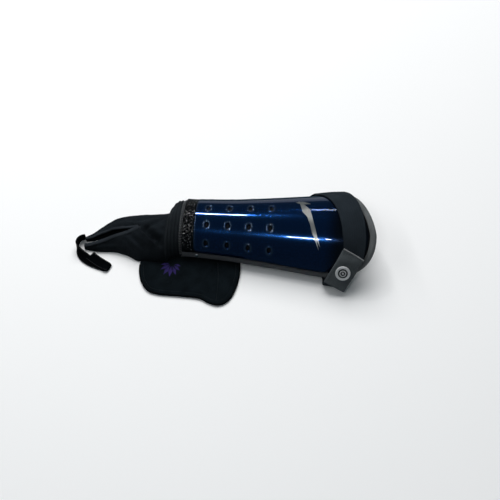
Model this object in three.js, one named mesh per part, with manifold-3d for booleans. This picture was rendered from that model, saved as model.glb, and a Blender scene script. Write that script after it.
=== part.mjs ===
// Soccer shin guard with an ankle sleeve, lying on its open side.
//
// Millimetres. +X runs from the ankle to the knee, +Y is the far side of the leg, +Z is up.
// While it is modelled, X = 0 is the ankle end of the hard shell, Y = 0 the middle of the guard
// and Z = 0 the surface that it lies on. The finished group is then moved so that its origin is
// the middle of the underside of its box.

import * as THREE from 'three';
import { mergeVertices } from 'three/addons/utils/BufferGeometryUtils.js';
import Module from 'manifold-3d';

const wasm = await Module();
wasm.setup();

const { cos, sin, abs, sqrt, max, min, pow, PI, hypot } = Math;
const degrees = THREE.MathUtils.degToRad;

// Driving dimensions

const GAP = 0.3; // running gap between pieces that touch on the real guard

const PAD_THICKNESS = 3.6;

const SHELL_LENGTH = 217;
const SHELL_WALL = 2;
const SHELL_SPREAD = degrees(69.6); // from the crown down to each side edge
const ANKLE_RADIUS = 41.5;
const KNEE_RADIUS = 64;
const EDGE_HEIGHT = PAD_THICKNESS + 11.9; // side edges of the shell; their bound rim clears the pad
// The knee end is highest towards the near side and rounded back into both sides.
const KNEE_PEAK = -0.28; // share of the way from the crown to the side edge
const KNEE_NEAR = { rounding: 60, fullness: 2.5 };
const KNEE_FAR = { rounding: 75, fullness: 1.25 };
const ANKLE_CORNER = 8;
const SHELL_BELLY = [
  { along: 0, growth: 0 },
  { along: 0.2, growth: 0.12 },
  { along: 0.31, growth: 0.235 },
  { along: 0.43, growth: 0.375 },
  { along: 0.61, growth: 0.61 },
  { along: 0.75, growth: 0.79 },
  { along: 0.9, growth: 0.94 },
  { along: 1, growth: 1 },
];

const VENT_ROWS = 4;
const VENT_COLUMNS = 4;
const VENT_FIRST = 15.8; // centre of the first column from the ankle end
const VENT_PITCH = 26.6;
const VENT_ROW_ANGLE = degrees(33);
const VENT_WIDTH = 4.6; // along the leg
const VENT_LENGTH = 7.4; // round the leg
const VENT_SIDES = 10;
const VENT_CUT = 6 * SHELL_WALL; // length of the cutter, past both faces

const FLANGE_LENGTH = 14.6; // perforated strip at the ankle end of the shell
const FLANGE_WALL = 1.4;
const FLANGE_STEP = 0.5; // how much lower it lies than the shell

const FOAM_THICKNESS = 5;
const FOAM_MARGIN = 7; // how far the foam stands out beyond the shell
const FOAM_FLARE = 2.4; // how far that margin turns outwards
const FOAM_CREASE = 0.8; // flat foam past the edge of the shell before it turns

const BINDING_WALL = 1.2;
const BINDING_REACH = 5.4; // how far each leg of the binding lies over the foam
const BINDING_CLEARANCE = 0.4;
const BINDING_BEVEL = { back: 0.6, leg: 1.2 };

const RIVET_RADIUS = 1.9;
const RIVET_HEIGHT = 1.2;
const RIVET_FROM_END = 3.5; // along the leg from the ankle end of the shell
const RIVET_FROM_RIM = 2.4;
const RIVET_SIDES = 12;
const RIVET_DOME = [
  { across: 0, up: 0 },
  { across: 1, up: 0 },
  { across: 1, up: 0.35 },
  { across: 0.7, up: 0.8 },
  { across: 0, up: 1 },
];

const CLOTH = 2;
const COLLAR_LENGTH = 20.5;
const COLLAR_STEP = 2.4; // how much lower it lies than the foam at the guard
const COLLAR_DROP = 4; // power of its fall towards the sleeve, 1 is even
const COLLAR_SPREAD = 1.8; // the same for its near side
const COLLAR_RIBS = 5;
const COLLAR_RIB_HEIGHT = 1;
const COLLAR_RIB_SIDE = 0.5; // share of that height at its two sides

const SLEEVE_LENGTH = 106;
const SLEEVE_WIDTH = 62; // across the flattened tube where it meets the collar
const SLEEVE_HEIGHT = 34.5;
const SLEEVE_SHIFT = -17; // middle of the tube from the middle of the guard
const SLEEVE_SECTIONS = [
  { along: 0, near: 1.0, far: 1.12, height: 1.0, slump: 0.95 },
  { along: 0.16, near: 1.03, far: 1.07, height: 0.88, slump: 1.3 },
  { along: 0.31, near: 1.03, far: 1.06, height: 0.75, slump: 1.5 },
  { along: 0.49, near: 0.79, far: 0.98, height: 0.64, slump: 1.2 },
  { along: 0.65, near: 0.68, far: 0.84, height: 0.5, slump: 0.95 },
  { along: 0.82, near: 0.71, far: 0.43, height: 0.36, slump: 0.85 },
  { along: 0.93, near: 0.68, far: 0.1, height: 0.26, slump: 0.8 },
  { along: 1, near: 0.63, far: -0.05, height: 0.2, slump: 0.8 },
];
const SLEEVE_FOLD_DEPTH = 2.6;
const SLEEVE_FOLD_WIDTH = 4.5;
const SLEEVE_FOLD = { fromAlong: 0.34, fromAcross: 0.13, toAlong: 0.1, toAcross: -0.62 };
// Edges of the mouth: shares of the sleeve's length and of half its width, from its middle
const MOUTH_EDGES = [
  { along: 0.34, near: 0.16, far: 0.16 },
  { along: 0.5, near: -0.05, far: 0.11 },
  { along: 0.63, near: -0.15, far: 0.1 },
  { along: 0.75, near: -0.3, far: -0.02 },
  { along: 0.85, near: -0.4, far: -0.13 },
  { along: 0.93, near: -0.46, far: -0.24 },
  { along: 1.1, near: -0.48, far: -0.28 },
];
const MOUTH_FLOOR = 4; // the underside stays whole below this height
const HEEL_FROM = 0.86; // share of the length where the underside is open too

const WEBBING_WIDTH = 13;
const WEBBING_THICKNESS = 1.6;
// Middle line of the stirrup: shares of its length in X and of its reach in Y.
// A stand of 1 puts the webbing on its edge, 0 lays it flat.
const STIRRUP_LENGTH = 46;
const STIRRUP_REACH = 38;
const STIRRUP_FLOOR = 0.2;
const STIRRUP_ROUTE = [
  { along: 0.2, across: 0, stand: 1, layer: 0, turned: 92 },
  { along: 0.11, across: 0.03, stand: 1, layer: 0, turned: 105 },
  { along: 0.03, across: 0.12, stand: 1, layer: 0, turned: 140 },
  { along: 0.0, across: 0.26, stand: 1, layer: 0, turned: 175 },
  { along: 0.03, across: 0.42, stand: 0.85, layer: 0, turned: 200 },
  { along: 0.13, across: 0.6, stand: 0.5, layer: 0, turned: 222 },
  { along: 0.32, across: 0.77, stand: 0.2, layer: 0, turned: 238 },
  { along: 0.57, across: 0.9, stand: 0.05, layer: 0, turned: 242 },
  { along: 0.86, across: 1, stand: 0, layer: 0, turned: 246 },
  { along: 0.96, across: 1.03, stand: 0, layer: 0, turned: 246 },
  { along: 1.0, across: 1.045, stand: 0, layer: 0.5, turned: 246 },
  { along: 0.96, across: 1.03, stand: 0, layer: 1, turned: 246 },
  { along: 0.84, across: 0.96, stand: 0, layer: 1.1, turned: 242 },
  { along: 0.66, across: 0.86, stand: 0.07, layer: 1.4, turned: 238 },
  { along: 0.52, across: 0.76, stand: 0.12, layer: 1.9, turned: 232 },
  { along: 0.44, across: 0.69, stand: 0.15, layer: 2.3, turned: 226 },
];

const PAD_ROUNDING = 1.4;
const PAD_LENGTH = 128;
const PAD_START = -68; // its ankle end from the ankle end of the shell
const PAD_REACH = 96; // its near edge from the middle of the guard
// Shares of its length and of the way out from beside the sleeve to its near edge
const PAD_OUTLINE = [
  { along: 0.0, out: 0.049 },
  { along: 0.008, out: 0.297 },
  { along: 0.045, out: 0.607 },
  { along: 0.125, out: 0.866 },
  { along: 0.25, out: 0.948 },
  { along: 0.45, out: 0.959 },
  { along: 0.63, out: 0.99 },
  { along: 0.72, out: 1.093 },
  { along: 0.82, out: 1.149 },
  { along: 0.91, out: 1.021 },
  { along: 0.97, out: 0.711 },
  { along: 1.0, out: 0.235 },
  { along: 0.99, out: -0.199 },
];
const PAD_TUCK = -0.24; // its hidden edge under the guard, the same way
const PAD_COLLAR_POINTS = 4; // along its edge beside the collar
const PAD_CORNER = 2.8;
const PAD_BESIDE = 1.05; // its edge beside the sleeve, share of half the sleeve's width

const STRAP_WIDTH = 28.5;
const STRAP_THICKNESS = 2;
const STRAP_NEAR_X = 200; // where its middle crosses the near side
const STRAP_DRIFT = 44; // how far it runs towards the ankle by the far side
const STRAP_SEAM_ANGLE = degrees(-40);
const STRAP_SEAM_BLEND = degrees(25); // how soon its own line takes over from the seam's
const STRAP_FAR_BLEND = degrees(45); // how soon before the far rim it turns square
const STRAP_LEVEL_ANGLE = degrees(-32); // where it runs square to the leg
const STRAP_FAR_ANGLE = degrees(79);
const RIM_RISE = 2.2; // how far the bound rim lifts what lies over it
const RIM_RISE_RUN = 12; // along the leg, before the end of the shell
const RIM_RISE_SPREAD = degrees(7); // round the leg, either side of the shell's edge
const STRAP_TURN = 2.4; // radius of the turn under the far rim
const STRAP_NEAR_TURN = 12; // from its last point on the surface to the tip of the tab
const STRAP_ANCHOR_LENGTH = 5; // fastened inside the tab
const STRAP_ANCHOR_SETBACK = 4; // from the tip of the tab

const TAB_THICKNESS = 2.4;
const TAB_END_X = 178.5;
const TAB_END_OUT = 8; // its tip, out beyond the radius of the knee end
const TAB_END_HEIGHT = 10.5;
const TAB_HOLD = degrees(3); // how far past the tangent to its end it still lies on the guard
const TAB_RISE_SPREAD = degrees(10); // from the seam

const BADGE_RADIUS = 9.3;
const BADGE_INNER_RADIUS = 6.4;
const BADGE_THICKNESS = 1.7;
const BADGE_DISH = 0.6;
const BADGE_BEVEL = { rim: 0.6, dish: 0.4 };
const BADGE_SIDES = 24;
const BADGE_FROM_END = 22; // its centre from the tip of the tab

// Materials

const finish = (color, roughness, metalness = 0) =>
  new THREE.MeshStandardMaterial({ color, roughness, metalness });

const blueShell = finish(0x123c74, 0.18, 0.75);
const glossBlack = finish(0x0d0d10, 0.22);
const greyFoam = finish(0x26272a, 0.9);
const greyBinding = finish(0x55585c, 0.8);
const ribbedKnit = finish(0x3c3f42, 0.9);
const blackKnit = finish(0x24272c, 0.92);
const webbing = finish(0x1b1c20, 0.75);
const blackPad = finish(0x2a2d31, 0.9);
const elastic = finish(0x363941, 0.7);
const tabFabric = finish(0x4a4e50, 0.8);
const silverPlastic = finish(0x9b9ea0, 0.4);
const steel = finish(0xc4c7c9, 0.3, 0.9);

// Curves through tables

// A smooth curve through the rows of a table, without overshoot between them.
function through(rows, key, value) {
  const x = rows.map((row) => row[key]);
  const y = rows.map((row) => row[value]);
  const last = x.length - 1;
  const steps = y.slice(1).map((next, i) => (next - y[i]) / (x[i + 1] - x[i]));
  const slopes = x.map((_, i) => {
    if (i === 0) return steps[0];
    if (i === last) return steps[last - 1];
    const [before, after] = [steps[i - 1], steps[i]];
    return before * after <= 0 ? 0 : (2 * before * after) / (before + after);
  });
  return (at) => {
    const t = min(max(at, x[0]), x[last]);
    const found = x.findIndex((end, n) => n > 0 && t <= end);
    const i = found - 1;
    const span = x[i + 1] - x[i];
    const s = (t - x[i]) / span;
    const bend = s * s * (3 - 2 * s);
    return (
      y[i] + (y[i + 1] - y[i]) * bend +
      span * (slopes[i] * s * (1 - s) * (1 - s) - slopes[i + 1] * s * s * (1 - s))
    );
  };
}

const { lerp: mix, smoothstep } = THREE.MathUtils;
// Runs from -1 to 1, closer together towards both ends
const eased = (share) => sin((share - 0.5) * PI);

// Closed meshes

const vector = (x, y, z) => new THREE.Vector3(x, y, z);

// Makes an indexed geometry with its faces pointing out.
function closedGeometry(positions, index) {
  let geometry = new THREE.BufferGeometry();
  geometry.setAttribute('position', new THREE.Float32BufferAttribute(positions, 3));
  geometry.setIndex(index);
  geometry = mergeVertices(geometry, 1e-4);
  const corners = geometry.getIndex().array;
  const kept = [];
  for (let i = 0; i < corners.length; i += 3) {
    const [a, b, c] = corners.slice(i, i + 3);
    if (a !== b && b !== c && c !== a) kept.push(a, b, c);
  }
  const point = (n) => vector().fromBufferAttribute(geometry.getAttribute('position'), n);
  let volume = 0;
  for (let i = 0; i < kept.length; i += 3) {
    volume += point(kept[i]).dot(point(kept[i + 1]).cross(point(kept[i + 2])));
  }
  geometry.setIndex(volume < 0 ? kept.reverse() : kept);
  return geometry;
}

// A wall between two faces. place(i, j, side) gives a point of the inner (0) or outer (1) face.
// With wrap, the last row joins the first one, which makes a tube.
function wall(columns, rows, place, wrap = false) {
  const positions = [];
  for (const side of [0, 1]) {
    for (let i = 0; i <= columns; i++) {
      for (let j = 0; j <= rows; j++) positions.push(...place(i, j, side).toArray());
    }
  }
  const faceSize = (columns + 1) * (rows + 1);
  const at = (side, i, j) => side * faceSize + i * (rows + 1) + (wrap ? j % rows : j);
  const index = [];
  const quad = (a, b, c, d) => index.push(a, b, c, a, c, d);
  for (let i = 0; i < columns; i++) {
    for (let j = 0; j < rows; j++) {
      quad(at(1, i, j), at(1, i + 1, j), at(1, i + 1, j + 1), at(1, i, j + 1));
      quad(at(0, i, j), at(0, i, j + 1), at(0, i + 1, j + 1), at(0, i + 1, j));
    }
    if (!wrap) {
      quad(at(0, i, 0), at(0, i + 1, 0), at(1, i + 1, 0), at(1, i, 0));
      quad(at(1, i, rows), at(1, i + 1, rows), at(0, i + 1, rows), at(0, i, rows));
    }
  }
  for (let j = 0; j < rows; j++) {
    quad(at(1, 0, j), at(1, 0, j + 1), at(0, 0, j + 1), at(0, 0, j));
    quad(at(0, columns, j), at(0, columns, j + 1), at(1, columns, j + 1), at(1, columns, j));
  }
  return closedGeometry(positions, index);
}

// Booleans

function solid(geometry) {
  const bare = new THREE.BufferGeometry();
  bare.setAttribute('position', geometry.getAttribute('position'));
  bare.setIndex(geometry.getIndex());
  const merged = mergeVertices(bare, 1e-4);
  return new wasm.Manifold(new wasm.Mesh({
    numProp: 3,
    vertProperties: new Float32Array(merged.getAttribute('position').array),
    triVerts: new Uint32Array(merged.getIndex().array),
  }));
}

function geometryOf(manifold) {
  const mesh = manifold.getMesh();
  return closedGeometry(Array.from(mesh.vertProperties), Array.from(mesh.triVerts));
}

const cut = (body, cutters) => geometryOf(cutters.reduce((left, one) => left.subtract(one), solid(body)));

// The guard's arched surface

const belly = through(SHELL_BELLY, 'along', 'growth');
const shellRadius = (x) => mix(ANKLE_RADIUS, KNEE_RADIUS, belly(x / SHELL_LENGTH));
const archCentre = (x) => EDGE_HEIGHT - shellRadius(x) * cos(SHELL_SPREAD);
// A point at a distance x along the leg and an angle from the crown, lifted off the shell's face.
function onArch(x, angle, lift = 0) {
  const radius = shellRadius(x) + lift;
  return vector(x, radius * sin(angle), archCentre(x) + radius * cos(angle));
}

// Where the shell ends at the knee, for a share of the way from the crown to a side edge.
function kneeEnd(share) {
  const far = share > KNEE_PEAK;
  const { rounding, fullness } = far ? KNEE_FAR : KNEE_NEAR;
  const way = min((share - KNEE_PEAK) / ((far ? 1 : -1) - KNEE_PEAK), 1);
  return SHELL_LENGTH - rounding * (1 - sqrt(1 - pow(way, fullness)));
}

// Rounded corners at the ankle end of the shell
function ankleStart(share) {
  const halfArc = ANKLE_RADIUS * SHELL_SPREAD;
  const past = max(0, (abs(share) - 1) * halfArc + ANKLE_CORNER);
  return ANKLE_CORNER - sqrt(max(0, ANKLE_CORNER ** 2 - past ** 2));
}

// Hard shell

const SHELL_STATIONS = 12;
const SHELL_SECTORS = 24;

function shellWall() {
  return wall(SHELL_STATIONS, SHELL_SECTORS, (i, j, side) => {
    const share = eased(j / SHELL_SECTORS);
    const x = mix(ankleStart(share), kneeEnd(share), i / SHELL_STATIONS);
    return onArch(x, share * SHELL_SPREAD, (side - 1) * SHELL_WALL);
  });
}

function ventCutter(x, angle) {
  const round = new THREE.CylinderGeometry(0.5, 0.5, VENT_CUT, VENT_SIDES);
  round.rotateX(PI / 2);
  round.scale(VENT_WIDTH, VENT_LENGTH, 1);
  round.rotateX(-angle);
  const centre = onArch(x, angle);
  round.translate(centre.x, centre.y, centre.z);
  return solid(round);
}

function shell() {
  const cutters = [];
  for (let column = 0; column < VENT_COLUMNS; column++) {
    for (let row = 0; row < VENT_ROWS; row++) {
      const angle = (row - (VENT_ROWS - 1) / 2) * VENT_ROW_ANGLE;
      cutters.push(ventCutter(VENT_FIRST + column * VENT_PITCH, angle));
    }
  }
  return cut(shellWall(), cutters);
}

function ankleFlange() {
  const columns = 2;
  return wall(columns, SHELL_SECTORS, (i, j, side) => {
    const share = eased(j / SHELL_SECTORS);
    const x = mix(-GAP - FLANGE_LENGTH, ankleStart(share) - GAP, i / columns);
    return onArch(x, share * SHELL_SPREAD, -FLANGE_STEP + (side - 1) * FLANGE_WALL);
  });
}

// Foam and its binding

const foamStart = -GAP - FLANGE_LENGTH;
const foamLift = -SHELL_WALL - GAP;

const FOAM_STATIONS = 14;

// A node of the foam under the shell, as its place along the leg and its arc from the crown
function foamNode(i, j) {
  const share = eased(j / SHELL_SECTORS);
  const x = mix(foamStart, kneeEnd(share), i / FOAM_STATIONS);
  return new THREE.Vector2(x, share * SHELL_SPREAD * shellRadius(x));
}

// Nodes along the edge of the shell: near side, knee end, far side
const edgeNodes = [];
for (let i = 0; i < FOAM_STATIONS; i++) edgeNodes.push([i, 0]);
for (let j = 0; j <= SHELL_SECTORS; j++) edgeNodes.push([FOAM_STATIONS, j]);
for (let i = FOAM_STATIONS - 1; i >= 0; i--) edgeNodes.push([i, SHELL_SECTORS]);

// A point at a distance outside edge node n
function outsideEdge(n, distance) {
  const before = foamNode(...edgeNodes[max(n - 1, 0)]);
  const after = foamNode(...edgeNodes[min(n + 1, edgeNodes.length - 1)]);
  const along = after.sub(before).normalize();
  return foamNode(...edgeNodes[n]).add(new THREE.Vector2(along.y, -along.x).multiplyScalar(distance));
}

const onFoam = ({ x, y: arc }, lift) => onArch(x, arc / shellRadius(x), foamLift + lift);

// The foam's rim beside edge node n: its outer corner, the way in over the margin and the normal
function rimFrame(n) {
  const corner = (m) => onFoam(outsideEdge(min(max(m, 0), edgeNodes.length - 1), FOAM_MARGIN), FOAM_FLARE);
  const outer = corner(n);
  const along = corner(n + 1).sub(corner(n - 1)).normalize();
  const inwards = onFoam(outsideEdge(n, FOAM_CREASE), 0).sub(outer);
  inwards.addScaledVector(along, -inwards.dot(along)).normalize();
  return { outer, inwards, normal: along.cross(inwards).normalize() };
}

// Outward normal of the arch at a node under the shell
function archNormal({ x, y: arc }) {
  const node = (dx, darc) => new THREE.Vector2(x + dx, arc + darc);
  const alongLeg = onFoam(node(1, 0), 0).sub(onFoam(node(-1, 0), 0));
  const roundLeg = onFoam(node(0, 1), 0).sub(onFoam(node(0, -1), 0));
  return alongLeg.cross(roundLeg).normalize();
}

// The foam lies flat under the shell, and its margin turns outwards all round but at the ankle.
function foamBacking() {
  const numberOf = (i, j) => edgeNodes.findIndex(([a, b]) => a === i && b === j);
  return wall(FOAM_STATIONS + 1, SHELL_SECTORS + 2, (i, j, side) => {
    const station = min(i, FOAM_STATIONS);
    const sector = min(max(j - 1, 0), SHELL_SECTORS);
    const n = numberOf(station, sector);
    const inset = (side - 1) * FOAM_THICKNESS;
    if (station !== i || sector !== j - 1) {
      const { outer, normal } = rimFrame(n);
      return outer.addScaledVector(normal, inset);
    }
    const node = n < 0 ? foamNode(station, sector) : outsideEdge(n, FOAM_CREASE);
    return onFoam(node, 0).addScaledVector(archNormal(node), inset);
  });
}

// A U-shaped strip that holds the rim of the foam, from one ankle corner round to the other.
function edgeBinding() {
  const halfSlot = FOAM_THICKNESS / 2 + BINDING_CLEARANCE;
  const halfOuter = halfSlot + BINDING_WALL;
  const back = -BINDING_CLEARANCE - BINDING_WALL;
  const section = [
    [BINDING_REACH, halfSlot], [BINDING_REACH, halfOuter], [back + BINDING_BEVEL.back, halfOuter],
    [back, halfOuter - BINDING_BEVEL.leg], [back, BINDING_BEVEL.leg - halfOuter],
    [back + BINDING_BEVEL.back, -halfOuter],
    [BINDING_REACH, -halfOuter], [BINDING_REACH, -halfSlot],
    [-BINDING_CLEARANCE, -halfSlot], [-BINDING_CLEARANCE, halfSlot],
  ];
  const rings = edgeNodes.map((_, n) => {
    const { outer, inwards, normal } = rimFrame(n);
    const rim = outer.addScaledVector(normal, -FOAM_THICKNESS / 2);
    return section.map(([reach, height]) =>
      rim.clone().addScaledVector(inwards, reach).addScaledVector(normal, height));
  });
  const sides = section.length;
  const positions = rings.flat().flatMap((point) => point.toArray());
  const index = [];
  for (let i = 0; i < rings.length - 1; i++) {
    for (let k = 0; k < sides; k++) {
      const [a, b] = [i * sides + k, i * sides + (k + 1) % sides];
      index.push(a, a + sides, b + sides, a, b + sides, b);
    }
  }
  const outline = section.map(([reach, height]) => new THREE.Vector2(reach, height));
  for (const [a, b, c] of THREE.ShapeUtils.triangulateShape(outline, [])) {
    const last = (rings.length - 1) * sides;
    index.push(a, b, c, last + a, last + c, last + b);
  }
  return closedGeometry(positions, index);
}

// A domed rivet on the binding near an ankle corner of the shell
function rivet(side) {
  const profile = RIVET_DOME
    .map(({ across, up }) => new THREE.Vector2(across * RIVET_RADIUS, up * RIVET_HEIGHT));
  const dome = closedGeometry(...bareMesh(new THREE.LatheGeometry(profile, RIVET_SIDES)));
  const past = edgeNodes.findIndex((_, n) => outsideEdge(n, 0).x > RIVET_FROM_END);
  const [from, to] = side < 0 ? [past - 1, past] : [edgeNodes.length - past, edgeNodes.length - 1 - past];
  const { x: startX } = outsideEdge(from, 0);
  const share = (RIVET_FROM_END - startX) / (outsideEdge(to, 0).x - startX);
  const [start, end] = [rimFrame(from), rimFrame(to)];
  const { outer, inwards, normal } = start;
  outer.lerp(end.outer, share);
  const seat = BINDING_CLEARANCE + BINDING_WALL + GAP;
  dome.applyQuaternion(new THREE.Quaternion().setFromUnitVectors(vector(0, 1, 0), normal));
  outer.addScaledVector(inwards, RIVET_FROM_RIM).addScaledVector(normal, seat);
  dome.translate(outer.x, outer.y, outer.z);
  return dome;
}

function bareMesh(geometry) {
  return [Array.from(geometry.getAttribute('position').array), Array.from(geometry.getIndex().array)];
}

// Collar and sleeve: tubes with a flat underside and a rounded back

const sleeveHalf = SLEEVE_WIDTH / 2;
const collarStart = foamStart - GAP;
const sleeveStart = collarStart - COLLAR_LENGTH - GAP;
const sleeveSection = Object.fromEntries(['near', 'far', 'height', 'slump']
  .map((value) => [value, through(SLEEVE_SECTIONS, 'along', value)]));
const UNDERSIDE = 0.72; // share of the way round where the flat underside begins

// Outline of a tube's section: from the far side over the back to the near side and under.
function tubePoint(section, round, inset) {
  const { near, far, height, slump } = section;
  const middle = (near + far) / 2;
  const half = (far - near) / 2 - inset;
  if (round >= UNDERSIDE) {
    const share = (round - UNDERSIDE) / (1 - UNDERSIDE);
    return { y: middle + half * (2 * share - 1), z: inset };
  }
  const angle = (round / UNDERSIDE) * PI;
  const power = mix(0.8, slump, (1 - cos(angle)) / 2);
  return {
    y: middle + half * cos(angle),
    z: inset + (height - 2 * inset) * pow(max(0, sin(angle)), power),
  };
}

function sleeveSectionAt(along) {
  return {
    near: SLEEVE_SHIFT - sleeveHalf * sleeveSection.near(along),
    far: SLEEVE_SHIFT + sleeveHalf * sleeveSection.far(along),
    height: SLEEVE_HEIGHT * sleeveSection.height(along),
    slump: sleeveSection.slump(along),
  };
}

// The collar begins as the guard's own arch and ends as the sleeve's first section. Its back
// keeps the arch's height longer than its near side keeps the arch's width.
function collar() {
  const stations = COLLAR_RIBS * 2;
  const sectors = 30;
  const radius = shellRadius(0) + foamLift - COLLAR_STEP;
  const archSection = {
    near: -radius,
    far: radius,
    height: archCentre(0) + radius,
    slump: 0.8,
  };
  const sleeveEnd = sleeveSectionAt(0);
  return wall(stations, sectors, (i, j, side) => {
    const share = i / stations;
    const section = {};
    for (const key of Object.keys(archSection)) {
      const ease = pow(share, key === 'near' ? COLLAR_SPREAD : COLLAR_DROP);
      section[key] = mix(archSection[key], sleeveEnd[key], ease);
    }
    const { y, z } = tubePoint(section, j / sectors, CLOTH * (1 - side));
    const rib = side * (i % 2) * COLLAR_RIB_HEIGHT;
    const lean = (y - (section.near + section.far) / 2) / ((section.far - section.near) / 2);
    const rise = z > CLOTH ? rib : 0;
    return vector(collarStart - share * COLLAR_LENGTH, y + rib * lean * COLLAR_RIB_SIDE, z + rise);
  }, true);
}

function sleeveFold(x, y) {
  const acrossOf = (share) => SLEEVE_SHIFT + share * sleeveHalf;
  const start = new THREE.Vector2(sleeveStart - SLEEVE_FOLD.fromAlong * SLEEVE_LENGTH,
    acrossOf(SLEEVE_FOLD.fromAcross));
  const end = new THREE.Vector2(sleeveStart - SLEEVE_FOLD.toAlong * SLEEVE_LENGTH,
    acrossOf(SLEEVE_FOLD.toAcross));
  const way = end.clone().sub(start);
  const point = new THREE.Vector2(x, y).sub(start);
  const share = min(max(point.dot(way) / way.lengthSq(), 0), 1);
  const off = point.distanceTo(way.multiplyScalar(share));
  return SLEEVE_FOLD_DEPTH * Math.exp(-((off / SLEEVE_FOLD_WIDTH) ** 2));
}

function sleeveTube() {
  const stations = 20;
  const sectors = 32;
  return wall(stations, sectors, (i, j, side) => {
    const along = i / stations;
    const x = sleeveStart - along * SLEEVE_LENGTH;
    const { y, z } = tubePoint(sleeveSectionAt(along), j / sectors, CLOTH * (1 - side));
    const fold = z > SLEEVE_FOLD_DEPTH + CLOTH ? sleeveFold(x, y) : 0;
    return vector(x, y, z - fold);
  }, true);
}

const mouthNear = through(MOUTH_EDGES, 'along', 'near');
const mouthFar = through(MOUTH_EDGES, 'along', 'far');

// A prism over the mouth, cut down from above as far as a height
function mouthCutter(fromAlong, floor) {
  const kept = MOUTH_EDGES.filter((row) => row.along > fromAlong).map((row) => row.along);
  const stations = [max(fromAlong, MOUTH_EDGES[0].along), ...kept];
  const point = (along, share) =>
    new THREE.Vector2(sleeveStart - along * SLEEVE_LENGTH, SLEEVE_SHIFT + share * sleeveHalf);
  const nearSide = stations.map((along) => point(along, mouthNear(along)));
  const farSide = stations.map((along) => point(along, mouthFar(along))).reverse();
  const outline = new THREE.Shape([...nearSide, ...farSide]);
  const prism = new THREE.ExtrudeGeometry(outline, { depth: SLEEVE_HEIGHT * 2, bevelEnabled: false });
  prism.translate(0, 0, floor);
  return solid(closedGeometry(...soupMesh(prism)));
}

function soupMesh(geometry) {
  const positions = Array.from(geometry.getAttribute('position').array);
  return [positions, positions.slice(0, positions.length / 3).map((_, n) => n)];
}

function ankleSleeve() {
  return cut(sleeveTube(), [mouthCutter(0, MOUTH_FLOOR), mouthCutter(HEEL_FROM, -SLEEVE_HEIGHT)]);
}

// Stirrup of webbing, from the far tip of the sleeve

function stirrup() {
  const tip = sleeveStart - SLEEVE_LENGTH;
  const tipMiddle = (sleeveSectionAt(1).far + SLEEVE_SHIFT + sleeveHalf * mouthFar(1)) / 2;
  const start = vector(tip - STIRRUP_ROUTE[0].along * STIRRUP_LENGTH, tipMiddle, 0);
  const heightAt = ({ stand, layer }) => {
    const lean = stand * PI / 2;
    const rise = WEBBING_WIDTH / 2 * sin(lean) + WEBBING_THICKNESS / 2 * cos(lean);
    return STIRRUP_FLOOR + rise + layer * (WEBBING_THICKNESS + GAP);
  };
  const middles = STIRRUP_ROUTE.map((row) => vector(
    start.x - GAP + row.along * STIRRUP_LENGTH,
    start.y - row.across * STIRRUP_REACH,
    heightAt(row),
  ));
  const frames = middles.map((middle, i) => {
    const { stand, turned } = STIRRUP_ROUTE[i];
    const lean = stand * PI / 2;
    const flat = degrees(turned - 180);
    const across = vector(cos(flat) * cos(lean), sin(flat) * cos(lean), sin(lean));
    const heading = middles[min(i + 1, middles.length - 1)].clone().sub(middles[max(i - 1, 0)]);
    const normal = heading.cross(across).normalize();
    return flatFrame(middle, across, normal, WEBBING_WIDTH);
  });
  return band(frames, 1, WEBBING_THICKNESS);
}

// Flat ankle pad beside the guard

function anklePad() {
  const beside = SLEEVE_SHIFT - PAD_BESIDE * sleeveHalf;
  const outwards = (share) => mix(beside, -PAD_REACH, share);
  const point = ({ along, out }) => new THREE.Vector2(PAD_START + along * PAD_LENGTH, outwards(out));
  const outline = new THREE.Shape();
  const [first, ...rest] = PAD_OUTLINE.map(point);
  outline.moveTo(first.x, first.y);
  outline.splineThru(rest);
  const tuck = outwards(PAD_TUCK);
  outline.lineTo(rest.at(-1).x - PAD_CORNER, tuck);
  for (let i = 0; i <= PAD_COLLAR_POINTS; i++) {
    const share = i / PAD_COLLAR_POINTS;
    outline.lineTo(collarStart - share * COLLAR_LENGTH, mix(tuck, beside, pow(share, COLLAR_SPREAD)));
  }
  outline.lineTo(PAD_START + PAD_ROUNDING, beside);
  const plate = new THREE.ExtrudeGeometry(outline, {
    depth: PAD_THICKNESS - 2 * PAD_ROUNDING,
    bevelThickness: PAD_ROUNDING,
    bevelSize: PAD_ROUNDING,
    bevelOffset: -PAD_ROUNDING,
    bevelSegments: 2,
    curveSegments: 3,
  });
  plate.translate(0, 0, PAD_ROUNDING);
  return closedGeometry(...soupMesh(plate));
}

// Calf strap and its tab
//
// A band is a row of frames. Each gives a point for a share of the width, from -0.5 to 0.5,
// and a height above the band's middle.

function band(frames, cells, thickness) {
  return wall(frames.length - 1, cells, (i, j, side) =>
    frames[i](j / cells - 0.5, (side - 0.5) * thickness));
}

const flatFrame = (middle, across, normal, width) => (share, height) =>
  middle.clone().addScaledVector(across, share * width).addScaledVector(normal, height);

// How far the line xAt(angle) runs along the leg for each millimetre round it
function pathSlope(xAt, angle, lift) {
  const step = 0.01;
  const radius = shellRadius(xAt(angle)) + lift(xAt(angle), angle);
  return (xAt(angle + step) - xAt(angle - step)) / (2 * step * radius);
}

// A frame that lies on the arch all across its width, square to a line of that slope
function archFrame(xAt, angle, lift, slope) {
  const radius = shellRadius(xAt(angle)) + lift(xAt(angle), angle);
  return (share, height) => {
    const beside = share * STRAP_WIDTH / hypot(1, slope);
    const [x, around] = [xAt(angle) + beside, angle - beside * slope / radius];
    return onArch(x, around, lift(x, around) + height);
  };
}

// Frames along a straight stretch, turning evenly from one frame to another
const between = (from, to, steps) => Array.from({ length: steps }, (_, i) => (share, height) =>
  from(share, height).lerp(to(share, height), (i + 1) / steps));

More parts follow.
